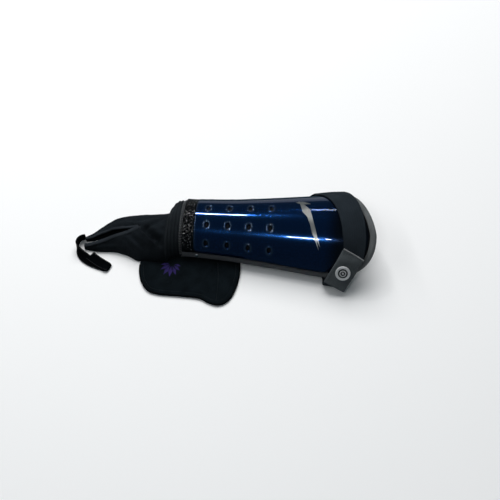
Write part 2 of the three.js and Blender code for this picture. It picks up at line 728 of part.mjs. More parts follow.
// How far the strap has drifted towards the ankle at an angle over the guard
const strapX = (angle) => STRAP_NEAR_X - STRAP_DRIFT *
  (1 - cos((PI / 2) * (angle - STRAP_LEVEL_ANGLE) / (STRAP_FAR_ANGLE - STRAP_LEVEL_ANGLE)));

// The strap and the tab rise where they cross the bound rim.
function rimRise(x, angle) {
  const pastEnd = smoothstep(x - kneeEnd(angle / SHELL_SPREAD), -RIM_RISE_RUN, 0);
  const pastSide = smoothstep(angle, SHELL_SPREAD - RIM_RISE_SPREAD, SHELL_SPREAD + RIM_RISE_SPREAD);
  return RIM_RISE * max(pastEnd, pastSide);
}

const strapLift = (x, angle) => GAP + STRAP_THICKNESS / 2 + rimRise(x, angle);

// The tab has the whole rise before it leaves the guard.
function tabLift(x, angle) {
  const leaving = RIM_RISE * smoothstep(STRAP_SEAM_ANGLE - angle, 0, TAB_RISE_SPREAD);
  return GAP + TAB_THICKNESS / 2 + max(rimRise(x, angle), leaving);
}

function tabSlope() {
  const { startAngle, xAt } = tabLine();
  return pathSlope(xAt, startAngle, tabLift);
}

// The strap's end is cut to the slope of the tab that is sewn to it, and it turns square to the
// leg before it goes under the far rim.
function strapSlope(angle) {
  const own = pathSlope(strapX, angle, strapLift);
  const left = smoothstep(angle, STRAP_SEAM_ANGLE, STRAP_SEAM_ANGLE + STRAP_SEAM_BLEND);
  const squared = smoothstep(angle, STRAP_FAR_ANGLE - STRAP_FAR_BLEND, STRAP_FAR_ANGLE);
  return mix(mix(tabSlope(), own, left), 0, squared);
}

const STRAP_STEPS = 22;
const STRAP_CELLS = 3;
const TAB_STEPS = 4;

const tabTip = () => vector(TAB_END_X, -KNEE_RADIUS - TAB_END_OUT, TAB_END_HEIGHT);

// The last frame of the tab, or of the strap's anchored end inside it
function tabEnd(inset) {
  const { heading, normal } = tabLine();
  const middle = tabTip().addScaledVector(normal, -inset);
  return flatFrame(middle, normal.clone().cross(heading).normalize(), normal, STRAP_WIDTH);
}

// Where the tab leaves the guard, and its direction and face from there
function tabLine() {
  const radius = shellRadius(STRAP_NEAR_X) + GAP + TAB_THICKNESS / 2 + RIM_RISE;
  const centre = archCentre(STRAP_NEAR_X);
  const tip = tabTip();
  const reach = hypot(tip.y, tip.z - centre);
  const leaveAngle = Math.acos(radius / reach) - Math.atan2(-tip.y, tip.z - centre) - TAB_HOLD;
  const startAngle = STRAP_SEAM_ANGLE - (2 * GAP) / radius;
  const roundLength = (startAngle - leaveAngle) * radius;
  const straightLength = sqrt(reach ** 2 - radius ** 2);
  const drift = (STRAP_NEAR_X - TAB_END_X) / (roundLength + straightLength);
  const xAt = (angle) => STRAP_NEAR_X - drift * (startAngle - angle) * radius;
  const leaving = onArch(xAt(leaveAngle), leaveAngle, tabLift(xAt(leaveAngle), leaveAngle));
  const heading = tip.sub(leaving).normalize();
  const normal = vector(-1, 0, 0).cross(heading).normalize();
  return { startAngle, leaveAngle, xAt, heading, normal };
}

function tabFrames() {
  const { startAngle, leaveAngle, xAt } = tabLine();
  const round = Array.from({ length: TAB_STEPS + 1 }, (_, i) =>
    archFrame(xAt, mix(startAngle, leaveAngle, i / TAB_STEPS), tabLift, tabSlope()));
  return [...round, ...between(round.at(-1), tabEnd(0), TAB_STEPS)];
}

const strapTab = () => band(tabFrames(), STRAP_CELLS, TAB_THICKNESS);

// From the seam over the guard, round its far rim, back under it and up inside the tab
function calfStrap() {
  const over = Array.from({ length: STRAP_STEPS + 1 }, (_, i) => {
    const angle = mix(STRAP_SEAM_ANGLE, STRAP_FAR_ANGLE, i / STRAP_STEPS);
    return archFrame(strapX, angle, strapLift, strapSlope(angle));
  });
  const last = over.at(-1)(0, 0);
  const alongLeg = vector(1, 0, 0);
  const turnHeight = STRAP_THICKNESS / 2 + STRAP_TURN;
  const farTurn = Array.from({ length: TAB_STEPS }, (_, i) => {
    const angle = mix(STRAP_FAR_ANGLE, PI, (i + 1) / TAB_STEPS);
    return flatFrame(
      vector(last.x, last.y + STRAP_TURN * (sin(angle) - 1), turnHeight + STRAP_TURN * cos(angle)),
      alongLeg, vector(0, sin(angle), cos(angle)), STRAP_WIDTH);
  });
  const inset = (TAB_THICKNESS + STRAP_THICKNESS) / 2 + GAP;
  const { heading, normal } = tabLine();
  const tipFrame = tabEnd(inset);
  const insideTab = (setback) => (share, height) => tipFrame(share, height).addScaledVector(heading, -setback);
  const anchorStart = insideTab(STRAP_ANCHOR_SETBACK);
  const anchorEnd = insideTab(STRAP_ANCHOR_SETBACK + STRAP_ANCHOR_LENGTH);
  const nearFloor = flatFrame(
    vector(TAB_END_X, tabTip().y + STRAP_NEAR_TURN, STRAP_THICKNESS / 2),
    alongLeg, vector(0, 0, -1), STRAP_WIDTH);
  // It bends towards the tip of the tab, then up and in.
  const nearTurn = Array.from({ length: TAB_STEPS - 1 }, (_, i) => (share, height) => {
    const t = (i + 1) / TAB_STEPS;
    const from = nearFloor(share, 0);
    const corner = from.clone().setY(tabTip().y);
    const to = anchorStart(share, 0);
    const face = vector(0, 0, -1).lerp(normal, t).normalize();
    return from.lerp(corner, t).lerp(corner.lerp(to, t), t).addScaledVector(face, height);
  });
  return band([
    ...over, ...farTurn, ...between(farTurn.at(-1), nearFloor, TAB_STEPS), ...nearTurn, anchorStart,
    ...between(anchorStart, anchorEnd, 1),
  ], STRAP_CELLS, STRAP_THICKNESS);
}

// Round badge on the tab: a raised ring round a sunk disc
function badge() {
  const dish = BADGE_THICKNESS - BADGE_DISH;
  const profile = [
    [0, 0], [BADGE_RADIUS, 0], [BADGE_RADIUS, BADGE_THICKNESS - BADGE_BEVEL.rim],
    [BADGE_RADIUS - BADGE_BEVEL.rim, BADGE_THICKNESS], [BADGE_INNER_RADIUS, BADGE_THICKNESS],
    [BADGE_INNER_RADIUS - BADGE_BEVEL.dish, dish], [0, dish],
  ].map(([across, up]) => new THREE.Vector2(across, up));
  const disc = closedGeometry(...bareMesh(new THREE.LatheGeometry(profile, BADGE_SIDES)));
  const frames = tabFrames();
  const { heading, normal } = tabLine();
  const height = TAB_THICKNESS / 2 + GAP;
  const middle = frames.at(-1)(0, height).addScaledVector(heading, -BADGE_FROM_END);
  disc.applyQuaternion(new THREE.Quaternion().setFromUnitVectors(vector(0, 1, 0), normal));
  disc.translate(middle.x, middle.y, middle.z);
  return disc;
}

// Assembly

const shinGuard = new THREE.Group();

function add(name, geometry, material) {
  const mesh = new THREE.Mesh(geometry, material);
  mesh.name = name;
  shinGuard.add(mesh);
}

add('shell', shell(), blueShell);
add('ankle_flange', ankleFlange(), glossBlack);
add('foam_backing', foamBacking(), greyFoam);
add('edge_binding', edgeBinding(), greyBinding);
add('rivet_near', rivet(-1), steel);
add('rivet_far', rivet(1), steel);
add('collar', collar(), ribbedKnit);
add('ankle_sleeve', ankleSleeve(), blackKnit);
add('stirrup', stirrup(), webbing);
add('ankle_pad', anklePad(), blackPad);
add('calf_strap', calfStrap(), elastic);
add('strap_tab', strapTab(), tabFabric);
add('badge', badge(), silverPlastic);

const box = new THREE.Box3().setFromObject(shinGuard);
const centre = box.getCenter(vector());
shinGuard.position.set(-centre.x, -centre.y, -box.min.z);

export default shinGuard;
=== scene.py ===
"""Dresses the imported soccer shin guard: glossy vented shell, foam, knit sleeve, pad and straps."""

import math

import bpy
import numpy as np
from bpy.props import FloatProperty, FloatVectorProperty, PointerProperty
from mathutils import Matrix, Vector, noise
from mathutils.geometry import delaunay_2d_cdt


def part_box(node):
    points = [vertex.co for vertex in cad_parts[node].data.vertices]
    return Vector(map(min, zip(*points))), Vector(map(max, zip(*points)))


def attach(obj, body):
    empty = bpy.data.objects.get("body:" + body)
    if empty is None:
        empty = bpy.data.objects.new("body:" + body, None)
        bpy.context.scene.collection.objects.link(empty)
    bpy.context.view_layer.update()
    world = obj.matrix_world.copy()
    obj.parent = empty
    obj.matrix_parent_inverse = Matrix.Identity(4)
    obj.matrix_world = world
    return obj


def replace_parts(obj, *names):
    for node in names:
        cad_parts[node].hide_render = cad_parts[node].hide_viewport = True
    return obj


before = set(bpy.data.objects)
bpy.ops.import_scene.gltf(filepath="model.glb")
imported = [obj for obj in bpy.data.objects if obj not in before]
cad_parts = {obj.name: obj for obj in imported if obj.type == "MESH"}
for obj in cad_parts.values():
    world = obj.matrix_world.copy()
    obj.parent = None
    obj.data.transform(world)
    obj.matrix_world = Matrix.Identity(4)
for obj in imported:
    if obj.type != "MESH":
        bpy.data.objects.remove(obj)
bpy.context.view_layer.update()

bl_info = {
    "name": "Soccer shin guard",
    "version": (1, 0, 0),
    "blender": (4, 5, 0),
    "location": "3D View > Sidebar > Shin Guard",
    "description": "Dresses the packed shin guard in its glossy shell, foam, knit and webbing",
    "category": "Object",
}

PI = math.pi
MM = 0.001

# The guard is drawn in millimetres, with x = 0 at the ankle end of the shell and y = 0 at its
# middle. ORIGIN is that point in the row frame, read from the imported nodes.
shell_low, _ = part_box("shell")
strip_low, strip_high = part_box("ankle_flange")
ORIGIN = np.array([shell_low[0], (strip_low[1] + strip_high[1]) / 2, 0.0])

# Form of the guard

GAP = 0.3
PAD_THICKNESS = 3.6
SHELL_LENGTH = 217.0
SHELL_WALL = 2.0
SPREAD = math.radians(69.6)
ANKLE_RADIUS = 41.5
KNEE_RADIUS = 64.0
EDGE_HEIGHT = PAD_THICKNESS + 11.9
KNEE_PEAK = -0.28
KNEE_NEAR = (60.0, 2.5)
KNEE_FAR = (75.0, 1.25)
ANKLE_CORNER = 8.0
BELLY = ((0, 0), (0.2, 0.12), (0.31, 0.235), (0.43, 0.375), (0.61, 0.61), (0.75, 0.79), (0.9, 0.94), (1, 1))

VENT_ROWS = 4
VENT_COLUMNS = 4
VENT_FIRST = 15.8
VENT_PITCH = 26.6
VENT_ROW_ANGLE = math.radians(33)
VENT_SIZE = (4.4, 7.0)

STRIP_LENGTH = 14.6
STRIP_WALL = 1.4
STRIP_STEP = 0.5
STRIP_HOLE_COLUMNS = 3
STRIP_HOLE_ROWS = 19
STRIP_HOLE_FIRST = 3.4
STRIP_HOLE_PITCH = 3.7
STRIP_HOLE_SPREAD = 0.93
STRIP_HOLE_SIZE = (1.7, 2.3)
STRIP_HOLE_DISH = 1.0
STRIP_BEADS_NEAR = 3.3
STRIP_BEADS_FAR = 3.9

FOAM_THICKNESS = 5.0
FOAM_MARGIN = 7.0
FOAM_FLARE = 2.4
FOAM_CREASE = 0.8
FOAM_LIFT = -SHELL_WALL - GAP
CHANNEL_PITCH = 24.0
CHANNEL_WIDTH = 1.6
FOAM_START = -GAP - STRIP_LENGTH

BINDING_WALL = 1.2
BINDING_REACH = 5.4
BINDING_CLEARANCE = 0.4
BINDING_BEND = 2.4
BINDING_LIP = 0.35
# The tape is darker along the sides, and turns grey between these places along the leg
BINDING_FADE = (150.0, 196.0)

RIVET_RADIUS = 1.9
RIVET_HEIGHT = 1.2
RIVET_FROM_END = 3.5
RIVET_FROM_RIM = 2.4

CLOTH = 2.0
COLLAR_START = FOAM_START - GAP
COLLAR_LENGTH = 20.5
COLLAR_STEP = 2.4
COLLAR_DROP = 4.0
COLLAR_SPREAD = 1.8
COLLAR_RIBS = 5

SLEEVE_START = COLLAR_START - COLLAR_LENGTH - GAP
SLEEVE_LENGTH = 106.0
SLEEVE_HALF = 31.0
SLEEVE_HEIGHT = 34.5
SLEEVE_SHIFT = -17.0
# along, near, far, height, slump
SLEEVE_SECTIONS = (
    (0, 1.0, 1.12, 1.0, 0.95), (0.16, 1.03, 1.07, 0.88, 1.3), (0.31, 1.03, 1.06, 0.75, 1.5),
    (0.49, 0.79, 0.98, 0.64, 1.2), (0.65, 0.68, 0.84, 0.5, 0.95), (0.82, 0.71, 0.43, 0.36, 0.85),
    (0.93, 0.68, 0.1, 0.26, 0.8), (1, 0.63, -0.05, 0.2, 0.8),
)
# along, near edge, far edge
MOUTH_EDGES = (
    (0.34, 0.16, 0.16), (0.5, -0.05, 0.11), (0.63, -0.15, 0.1), (0.75, -0.3, -0.02),
    (0.85, -0.4, -0.13), (0.93, -0.46, -0.24), (1.1, -0.48, -0.28),
)
HEEL_FROM = 0.86

WEBBING_WIDTH = 13.0
WEBBING_THICKNESS = 1.6
STIRRUP_LENGTH = 46.0
STIRRUP_REACH = 38.0
STIRRUP_FLOOR = 0.2
# along, across, stand, layer, turned
STIRRUP_ROUTE = (
    (0.2, 0, 1, 0, 92), (0.11, 0.03, 1, 0, 105), (0.03, 0.12, 1, 0, 140), (0.0, 0.26, 1, 0, 175),
    (0.03, 0.42, 0.85, 0, 200), (0.13, 0.6, 0.5, 0, 222), (0.32, 0.77, 0.2, 0, 238),
    (0.57, 0.9, 0.05, 0, 242), (0.86, 1, 0, 0, 246), (0.96, 1.03, 0, 0, 246), (1.0, 1.045, 0, 0.5, 246),
    (0.96, 1.03, 0, 1, 246), (0.84, 0.96, 0, 1.1, 242), (0.66, 0.86, 0.07, 1.4, 238),
    (0.52, 0.76, 0.12, 1.9, 232), (0.44, 0.69, 0.15, 2.3, 226),
)

PAD_LENGTH = 128.0
PAD_START = -68.0
PAD_REACH = 96.0
PAD_ROUNDING = 1.4
PAD_CORNER = 2.8
PAD_TUCK = -0.24
PAD_BESIDE = 1.05
PAD_HEM = 5.2
PAD_GRID = 2.2
# along, out
PAD_OUTLINE = (
    (0.0, 0.049), (0.008, 0.297), (0.045, 0.607), (0.125, 0.866), (0.25, 0.948), (0.45, 0.959),
    (0.63, 0.99), (0.72, 1.093), (0.82, 1.149), (0.91, 1.021), (0.97, 0.711), (1.0, 0.235), (0.99, -0.199),
)

STRAP_WIDTH = 28.5
STRAP_THICKNESS = 2.0
STRAP_NEAR_X = 200.0
STRAP_DRIFT = 44.0
STRAP_SEAM_ANGLE = math.radians(-40)
STRAP_SEAM_BLEND = math.radians(25)
STRAP_FAR_BLEND = math.radians(45)
STRAP_LEVEL_ANGLE = math.radians(-32)
STRAP_FAR_ANGLE = math.radians(79)
RIM_RISE = 2.2
RIM_RISE_RUN = 12.0
RIM_RISE_SPREAD = math.radians(7)
STRAP_TURN = 2.4
STRAP_NEAR_TURN = 12.0
STRAP_ANCHOR_LENGTH = 5.0
STRAP_ANCHOR_SETBACK = 4.0
TAB_THICKNESS = 2.4
TAB_END = np.array([178.5, -72.0, 10.5])
TAB_HOLD = math.radians(3)
TAB_RISE_SPREAD = math.radians(10)

BADGE_RADIUS = 9.3
BADGE_INNER_RADIUS = 6.4
BADGE_THICKNESS = 1.7
BADGE_DISH = 0.6
BADGE_FROM_END = 22.0


def through(rows):
    """A smooth curve through (x, y) rows, without overshoot between them."""
    x, y = np.array(rows, float).T
    steps = np.diff(y) / np.diff(x)
    inner = [0.0 if a * b <= 0 else 2 * a * b / (a + b) for a, b in zip(steps, steps[1:])]
    slopes = np.array([steps[0], *inner, steps[-1]])

    def curve(at):
        t = np.clip(at, x[0], x[-1])
        i = np.clip(np.searchsorted(x, t, side="right") - 1, 0, len(x) - 2)
        span = x[i + 1] - x[i]
        s = (t - x[i]) / span
        bend = s * s * (3 - 2 * s)
        turn = slopes[i] * s * (1 - s) ** 2 - slopes[i + 1] * s * s * (1 - s)
        return y[i] + (y[i + 1] - y[i]) * bend + span * turn

    return curve


def mix(a, b, share):
    return a + (b - a) * share


def smoothstep(value, low, high):
    share = np.clip((value - low) / (high - low), 0, 1)
    return share * share * (3 - 2 * share)


def eased(share):
    return np.sin((share - 0.5) * PI)


def unit(vectors):
    return vectors / np.linalg.norm(vectors, axis=-1, keepdims=True)


belly = through(BELLY)


def shell_radius(x):
    return mix(ANKLE_RADIUS, KNEE_RADIUS, belly(x / SHELL_LENGTH))


def arch_centre(x):
    return EDGE_HEIGHT - shell_radius(x) * math.cos(SPREAD)


def on_arch(x, angle, lift=0.0):
    """A point at x along the leg and an angle from the crown, lifted off the shell's face."""
    radius = shell_radius(x) + lift
    x, angle, radius = np.broadcast_arrays(x, angle, radius)
    return np.stack([x, radius * np.sin(angle), arch_centre(x) + radius * np.cos(angle)], axis=-1)


def knee_end(share):
    """Where the shell ends at the knee, for a share of the way to a side edge."""
    share = np.asarray(share, float)
    far = share > KNEE_PEAK
    rounding = np.where(far, KNEE_FAR[0], KNEE_NEAR[0])
    fullness = np.where(far, KNEE_FAR[1], KNEE_NEAR[1])
    way = np.minimum((share - KNEE_PEAK) / (np.where(far, 1.0, -1.0) - KNEE_PEAK), 1)
    return SHELL_LENGTH - rounding * (1 - np.sqrt(1 - way ** fullness))


def ankle_start(share):
    """The rounded corners at the ankle end of the shell."""
    past = np.maximum(0, (np.abs(share) - 1) * ANKLE_RADIUS * SPREAD + ANKLE_CORNER)
    return ANKLE_CORNER - np.sqrt(np.maximum(0, ANKLE_CORNER ** 2 - past ** 2))


# Meshes


def link(name, mesh, material):
    """A finished mesh as a piece of the guard."""
    mesh.materials.append(material)
    piece = bpy.data.objects.new(name, mesh)
    bpy.context.scene.collection.objects.link(piece)
    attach(piece, "root")
    return piece


def mesh_from(name, points, faces, face_uv=None, sharp=math.radians(38)):
    """A smooth-shaded mesh of points in millimetres, with a UV map in millimetres."""
    mesh = bpy.data.meshes.new(name)
    mesh.from_pydata((ORIGIN + np.asarray(points) * MM).tolist(), [], faces)
    mesh.polygons.foreach_set("use_smooth", [True] * len(mesh.polygons))
    mesh.set_sharp_from_angle(angle=sharp)
    if face_uv is not None:
        layer = mesh.uv_layers.new(name="lay")
        layer.data.foreach_set("uv", np.concatenate([np.asarray(uv).ravel() for uv in face_uv]))
    return mesh


def faced_out(points, faces, uv):
    """The faces of a closed mesh and their UV corners, turned so that they point out."""
    volume = 0.0
    for face in faces:
        for b, c in zip(face[1:-1], face[2:]):
            volume += np.dot(points[face[0]], np.cross(points[b], points[c]))
    if volume > 0:
        return faces, uv
    return [list(reversed(face)) for face in faces], [list(reversed(spots)) for spots in uv]


def walled(name, outer, inner, faces, uv, sharp=math.radians(38)):
    """A closed wall between an outer face and an inner one of as many points."""
    _, first, number = np.unique(np.round(outer, 3), axis=0, return_index=True, return_inverse=True)
    number = number.ravel()
    outer, inner = outer[first], inner[first]
    count = len(outer)
    kept = []
    kept_uv = []
    for face in faces:
        corners = [(number[c], tuple(uv[c])) for c in face]
        corners = [c for i, c in enumerate(corners) if c[0] != corners[i - 1][0]]
        if len({c[0] for c in corners}) > 2:
            kept.append([int(c[0]) for c in corners])
            kept_uv.append([c[1] for c in corners])
    edges = {}
    for face, spots in zip(kept, kept_uv):
        for i, a in enumerate(face):
            edges[(face[i - 1], a)] = (spots[i - 1], spots[i])
    rim = [edge for edge in edges if edge[::-1] not in edges]
    back = [[c + count for c in reversed(face)] for face in kept]
    sides = [[b, a, a + count, b + count] for a, b in rim]
    side_uv = [[edges[e][1], edges[e][0], edges[e][0], edges[e][1]] for e in rim]
    points = np.concatenate([outer, inner])
    back_uv = [list(reversed(spots)) for spots in kept_uv]
    every, every_uv = faced_out(points, kept + back + sides, kept_uv + back_uv + side_uv)
    return mesh_from(name, points, every, every_uv, sharp)


def grid_faces(columns, rows, keep=None):
    """Quads of a grid of (columns + 1) x (rows + 1) points."""
    return [
        (i * (rows + 1) + j, (i + 1) * (rows + 1) + j, (i + 1) * (rows + 1) + j + 1, i * (rows + 1) + j + 1)
        for i in range(columns) for j in range(rows) if keep is None or keep(i, j)
    ]


def run_along(path):
    """How far along a path each of its points lies."""
    return np.concatenate([[0], np.cumsum(np.linalg.norm(np.diff(path, axis=0), axis=1))])


def sweep(name, rings, sharp=math.radians(50)):
    """A closed solid through rings of like points. Its UV runs along it and round it."""
    rings = np.asarray(rings)
    count, sides = rings.shape[:2]
    lengths = run_along(rings.mean(axis=1))
    round_it = run_along(np.concatenate([rings[0], rings[0][:1]]))
    faces = []
    uv = []
    for i in range(count - 1):
        for k in range(sides):
            n = (k + 1) % sides
            faces.append([i * sides + k, (i + 1) * sides + k, (i + 1) * sides + n, i * sides + n])
            uv.append([(lengths[i], round_it[k]), (lengths[i + 1], round_it[k]),
                       (lengths[i + 1], round_it[k + 1]), (lengths[i], round_it[k + 1])])
    last = (count - 1) * sides
    points = np.concatenate([rings.reshape(-1, 3), [rings[0].mean(axis=0), rings[-1].mean(axis=0)]])
    for k in range(sides):
        n = (k + 1) % sides
        faces.append([k, n, len(points) - 2])
        faces.append([last + n, last + k, len(points) - 1])
        uv.append([(0, round_it[k]), (0, round_it[k + 1]), (0, round_it[k])])
        uv.append([(lengths[-1], round_it[k + 1]), (lengths[-1], round_it[k]), (lengths[-1], round_it[k])])
    faces, uv = faced_out(points, faces, uv)
    return mesh_from(name, points, faces, uv, sharp)


def lathe(name, profile, centre, normal, sides=64):
    """A turned solid. The profile holds (radius, height) rows from the axis out and back to it."""
    turn = Vector((0, 0, 1)).rotation_difference(Vector(normal)).to_matrix()
    spun = []
    flat = []
    for radius, height in profile:
        for k in range(sides):
            angle = 2 * PI * k / sides
            flat.append((radius * math.cos(angle), radius * math.sin(angle)))
            spun.append(turn @ Vector((*flat[-1], height)))
    points = np.array(spun) + centre
    _, first, number = np.unique(np.round(points, 4), axis=0, return_index=True, return_inverse=True)
    number = number.ravel()
    faces = []
    uv = []
    for i in range(len(profile) - 1):
        for k in range(sides):
            n = (k + 1) % sides
            corners = [i * sides + k, i * sides + n, (i + 1) * sides + n, (i + 1) * sides + k]
            corners = [c for m, c in enumerate(corners) if number[c] != number[corners[m - 1]]]
            if len(corners) > 2:
                faces.append([int(number[c]) for c in corners])
                uv.append([flat[c] for c in corners])
    points = points[first]
    faces, uv = faced_out(points, faces, uv)
    return mesh_from(name, points, faces, uv, math.radians(30))


# Shader groups and materials


def node(tree, kind, inputs=None, **settings):
    made = tree.nodes.new(kind)
    for key, value in settings.items():
        setattr(made, key, value)
    for key, value in (inputs or {}).items():
        if isinstance(value, bpy.types.NodeSocket):
            tree.links.new(value, made.inputs[key])
        else:
            made.inputs[key].default_value = value
    return made


def calc(tree, operation, a, b=0.0, c=0.0, clamp=False):
    made = node(tree, "ShaderNodeMath", {0: a, 1: b, 2: c}, operation=operation, use_clamp=clamp)
    return made.outputs[0]


def shader_group(name, inputs, outputs, fill):
    """A shader node group, built once. fill(tree, inputs) gives its output sockets by name."""
    tree = bpy.data.node_groups.get(name)
    if tree:
        return tree
    tree = bpy.data.node_groups.new(name, "ShaderNodeTree")
    for key, value in inputs.items():
        kind = "NodeSocketVector" if value is None else "NodeSocketFloat"
        socket = tree.interface.new_socket(key, in_out="INPUT", socket_type=kind)
        if value is not None:
            socket.default_value = value
    for key in outputs:
        tree.interface.new_socket(key, in_out="OUTPUT", socket_type="NodeSocketFloat")
    entry = tree.nodes.new("NodeGroupInput")
    leave = tree.nodes.new("NodeGroupOutput")
    for key, socket in fill(tree, entry.outputs).items():
        tree.links.new(socket, leave.inputs[key])
    return tree


def threads_group():
    """Woven or knitted threads: along and across are threads a millimetre, twill slants them."""
    def fill(tree, given):
        spot = node(tree, "ShaderNodeSeparateXYZ", {0: given["Vector"]}).outputs
        slant = calc(tree, "MULTIPLY", calc(tree, "MULTIPLY", spot[1], given["Across"]), given["Twill"])
        turns = calc(tree, "MULTIPLY_ADD", spot[0], given["Along"], slant)
        warp = calc(tree, "SINE", calc(tree, "MULTIPLY", turns, 2 * PI))
        weft_turns = calc(tree, "MULTIPLY", calc(tree, "MULTIPLY", spot[1], given["Across"]), 2 * PI)
        weft = calc(tree, "SINE", calc(tree, "ADD", weft_turns, calc(tree, "MULTIPLY", warp, 0.8)))
        both = calc(tree, "ADD", warp, weft)
        return {"Height": calc(tree, "MULTIPLY_ADD", both, 0.25, 0.5)}
    inputs = {"Vector": None, "Along": 1.0, "Across": 1.0, "Twill": 0.0}
    return shader_group("Threads", inputs, ["Height"], fill)


def mottle_group():
    """Uneven tone and lint: broad and fine are sizes of its noise in metres."""
    def fill(tree, given):
        place = node(tree, "ShaderNodeTexCoord").outputs["Object"]
        broad = node(tree, "ShaderNodeTexNoise", {"Vector": place, "Scale": given["Broad"], "Detail": 3.0})
        fine = node(tree, "ShaderNodeTexNoise", {"Vector": place, "Scale": given["Fine"], "Detail": 2.0})
        grain = calc(tree, "MULTIPLY", fine.outputs[0], 0.35)
        both = calc(tree, "MULTIPLY_ADD", broad.outputs[0], 0.65, grain)
        tone = calc(tree, "MULTIPLY_ADD", both, 3.0, -1.0, clamp=True)
        lint = calc(tree, "GREATER_THAN", fine.outputs[0], given["Lint"])
        return {"Tone": tone, "Lint": lint, "Grain": fine.outputs[0]}
    inputs = {"Broad": 40.0, "Fine": 900.0, "Lint": 0.8}
    return shader_group("Mottle", inputs, ["Tone", "Lint", "Grain"], fill)


def lozenge_group():
    """A mask of one slanted lozenge on a surface whose UV is in millimetres."""
    def fill(tree, given):
        spot = node(tree, "ShaderNodeSeparateXYZ", {0: given["Vector"]}).outputs
        x = calc(tree, "SUBTRACT", spot[0], given["X"])
        y = calc(tree, "SUBTRACT", spot[1], given["Y"])
        cosine = calc(tree, "COSINE", given["Turn"])
        sine = calc(tree, "SINE", given["Turn"])
        along = calc(tree, "ADD", calc(tree, "MULTIPLY", x, cosine), calc(tree, "MULTIPLY", y, sine))
        across = calc(tree, "SUBTRACT", calc(tree, "MULTIPLY", y, cosine), calc(tree, "MULTIPLY", x, sine))
        reach = calc(tree, "DIVIDE", calc(tree, "ABSOLUTE", along), given["Half length"])
        spread = calc(tree, "DIVIDE", calc(tree, "ABSOLUTE", across), given["Half width"])
        inside = calc(tree, "SUBTRACT", 1.0, calc(tree, "ADD", reach, spread))
        return {"Mask": calc(tree, "MULTIPLY", inside, 14.0, clamp=True)}
    inputs = {"Vector": None, "X": 0.0, "Y": 0.0, "Turn": 0.0, "Half length": 10.0, "Half width": 3.0}
    return shader_group("Lozenge", inputs, ["Mask"], fill)


def group_node(tree, group, inputs):
    return node(tree, "ShaderNodeGroup", inputs, node_tree=group).outputs


def new_material(name):
    made = bpy.data.materials.new(name)
    made.use_nodes = True
    return made, made.node_tree, made.node_tree.nodes["Principled BSDF"]


def map_lay(tree):
    return node(tree, "ShaderNodeUVMap", uv_map="lay").outputs[0]


def blend(tree, share, first, second):
    """A colour between two. Each is a colour or a socket."""
    return node(tree, "ShaderNodeMix", {0: share, 6: first, 7: second}, data_type="RGBA").outputs[2]


def rgba(colour):
    return (*tuple(colour)[:3], 1.0)


def scaled(colour, factor):
    return tuple(min(1.0, c * factor) for c in tuple(colour)[:3]) + (1.0,)


def cloth_material(name, colour, threads, relief=0.12, contrast=0.5, fuzz=0.5, roughness=0.85, sheen=0.004,
                   lint=0.74, broad=45.0):
    """Cloth of one colour: threads are (along, across, twill), relief in millimetres."""
    made, tree, shader = new_material(name)
    along, across, twill = threads
    height = group_node(tree, threads_group(), {
        "Vector": map_lay(tree), "Along": along, "Across": across, "Twill": twill})["Height"]
    mottle = group_node(tree, mottle_group(), {"Broad": broad, "Fine": 1400.0, "Lint": lint})
    dark = scaled(colour, 1 - contrast)
    light = scaled(colour, 1 + contrast)
    tone = blend(tree, mottle["Tone"], scaled(colour, 1 - fuzz), scaled(colour, 1 + fuzz))
    cloth = blend(tree, 0.5, tone, blend(tree, height, dark, light))
    lint_share = calc(tree, "MULTIPLY", mottle["Lint"], 0.35)
    tree.links.new(blend(tree, lint_share, cloth, scaled(colour, 5.0)), shader.inputs["Base Color"])
    relief_height = calc(tree, "ADD", height, calc(tree, "MULTIPLY", mottle["Grain"], 0.6))
    bump = node(tree, "ShaderNodeBump", {"Height": relief_height, "Distance": relief * MM, "Strength": 0.8})
    tree.links.new(bump.outputs[0], shader.inputs["Normal"])
    shader.inputs["Roughness"].default_value = roughness
    shader.inputs["Sheen Weight"].default_value = sheen
    shader.inputs["Sheen Roughness"].default_value = 0.5
    shader.inputs["Specular IOR Level"].default_value = 0.06
    return made


def plain_material(name, colour, roughness, metallic=0.0, coat=0.0, specular=0.5):
    made, _, shader = new_material(name)
    shader.inputs["Base Color"].default_value = rgba(colour)
    shader.inputs["Roughness"].default_value = roughness
    shader.inputs["Metallic"].default_value = metallic
    shader.inputs["Coat Weight"].default_value = coat
    shader.inputs["Coat Roughness"].default_value = 0.04
    shader.inputs["Specular IOR Level"].default_value = specular
    return made


def print_mask(tree, rows):
    """A mask of a print made of lozenges. The rows hold x, y, turn, half length and half width."""
    lay = map_lay(tree)
    keys = ("X", "Y", "Turn", "Half length", "Half width")
    masks = [group_node(tree, lozenge_group(), {"Vector": lay, **dict(zip(keys, row))})["Mask"]
             for row in rows]
    joined = masks[0]
    for mask in masks[1:]:
        joined = calc(tree, "MAXIMUM", joined, mask)
    return joined


def painted_lip_highlight(tree):
    """Painted highlight: how much light colour is painted on the raised lips of the holes and along the
    shell's ankle edge, as stored on the mesh.
    """
    return node(tree, "ShaderNodeAttribute", attribute_name="painted_glint").outputs["Fac"]


# The silver print on the shell: x along the leg, arc from the crown, turn, half length, half width
SHELL_PRINT = (
    (145.0, -3.0, -1.2, 39.0, 3.0), (139.0, 11.0, -1.08, 24.0, 5.2), (134.5, 25.5, -0.15, 10.5, 3.2),
    (149.0, -18.0, -1.24, 26.0, 1.9),
)


# Painted shade: the shell's blue is darkened to near black towards the calf strap and under it, fading in
# between these places along the leg
KNEE_SHADE_FADE = (160.0, 182.0)
KNEE_PAINTED_SHADE = 0.12
# Light colours painted on the raised lips of the holes and along the ankle edge, as highlights and glints
LIP_HIGHLIGHT_BLUE = (0.26, 0.36, 0.44, 1.0)
STRIP_LIP_GLINT = (0.8, 0.82, 0.85, 1.0)


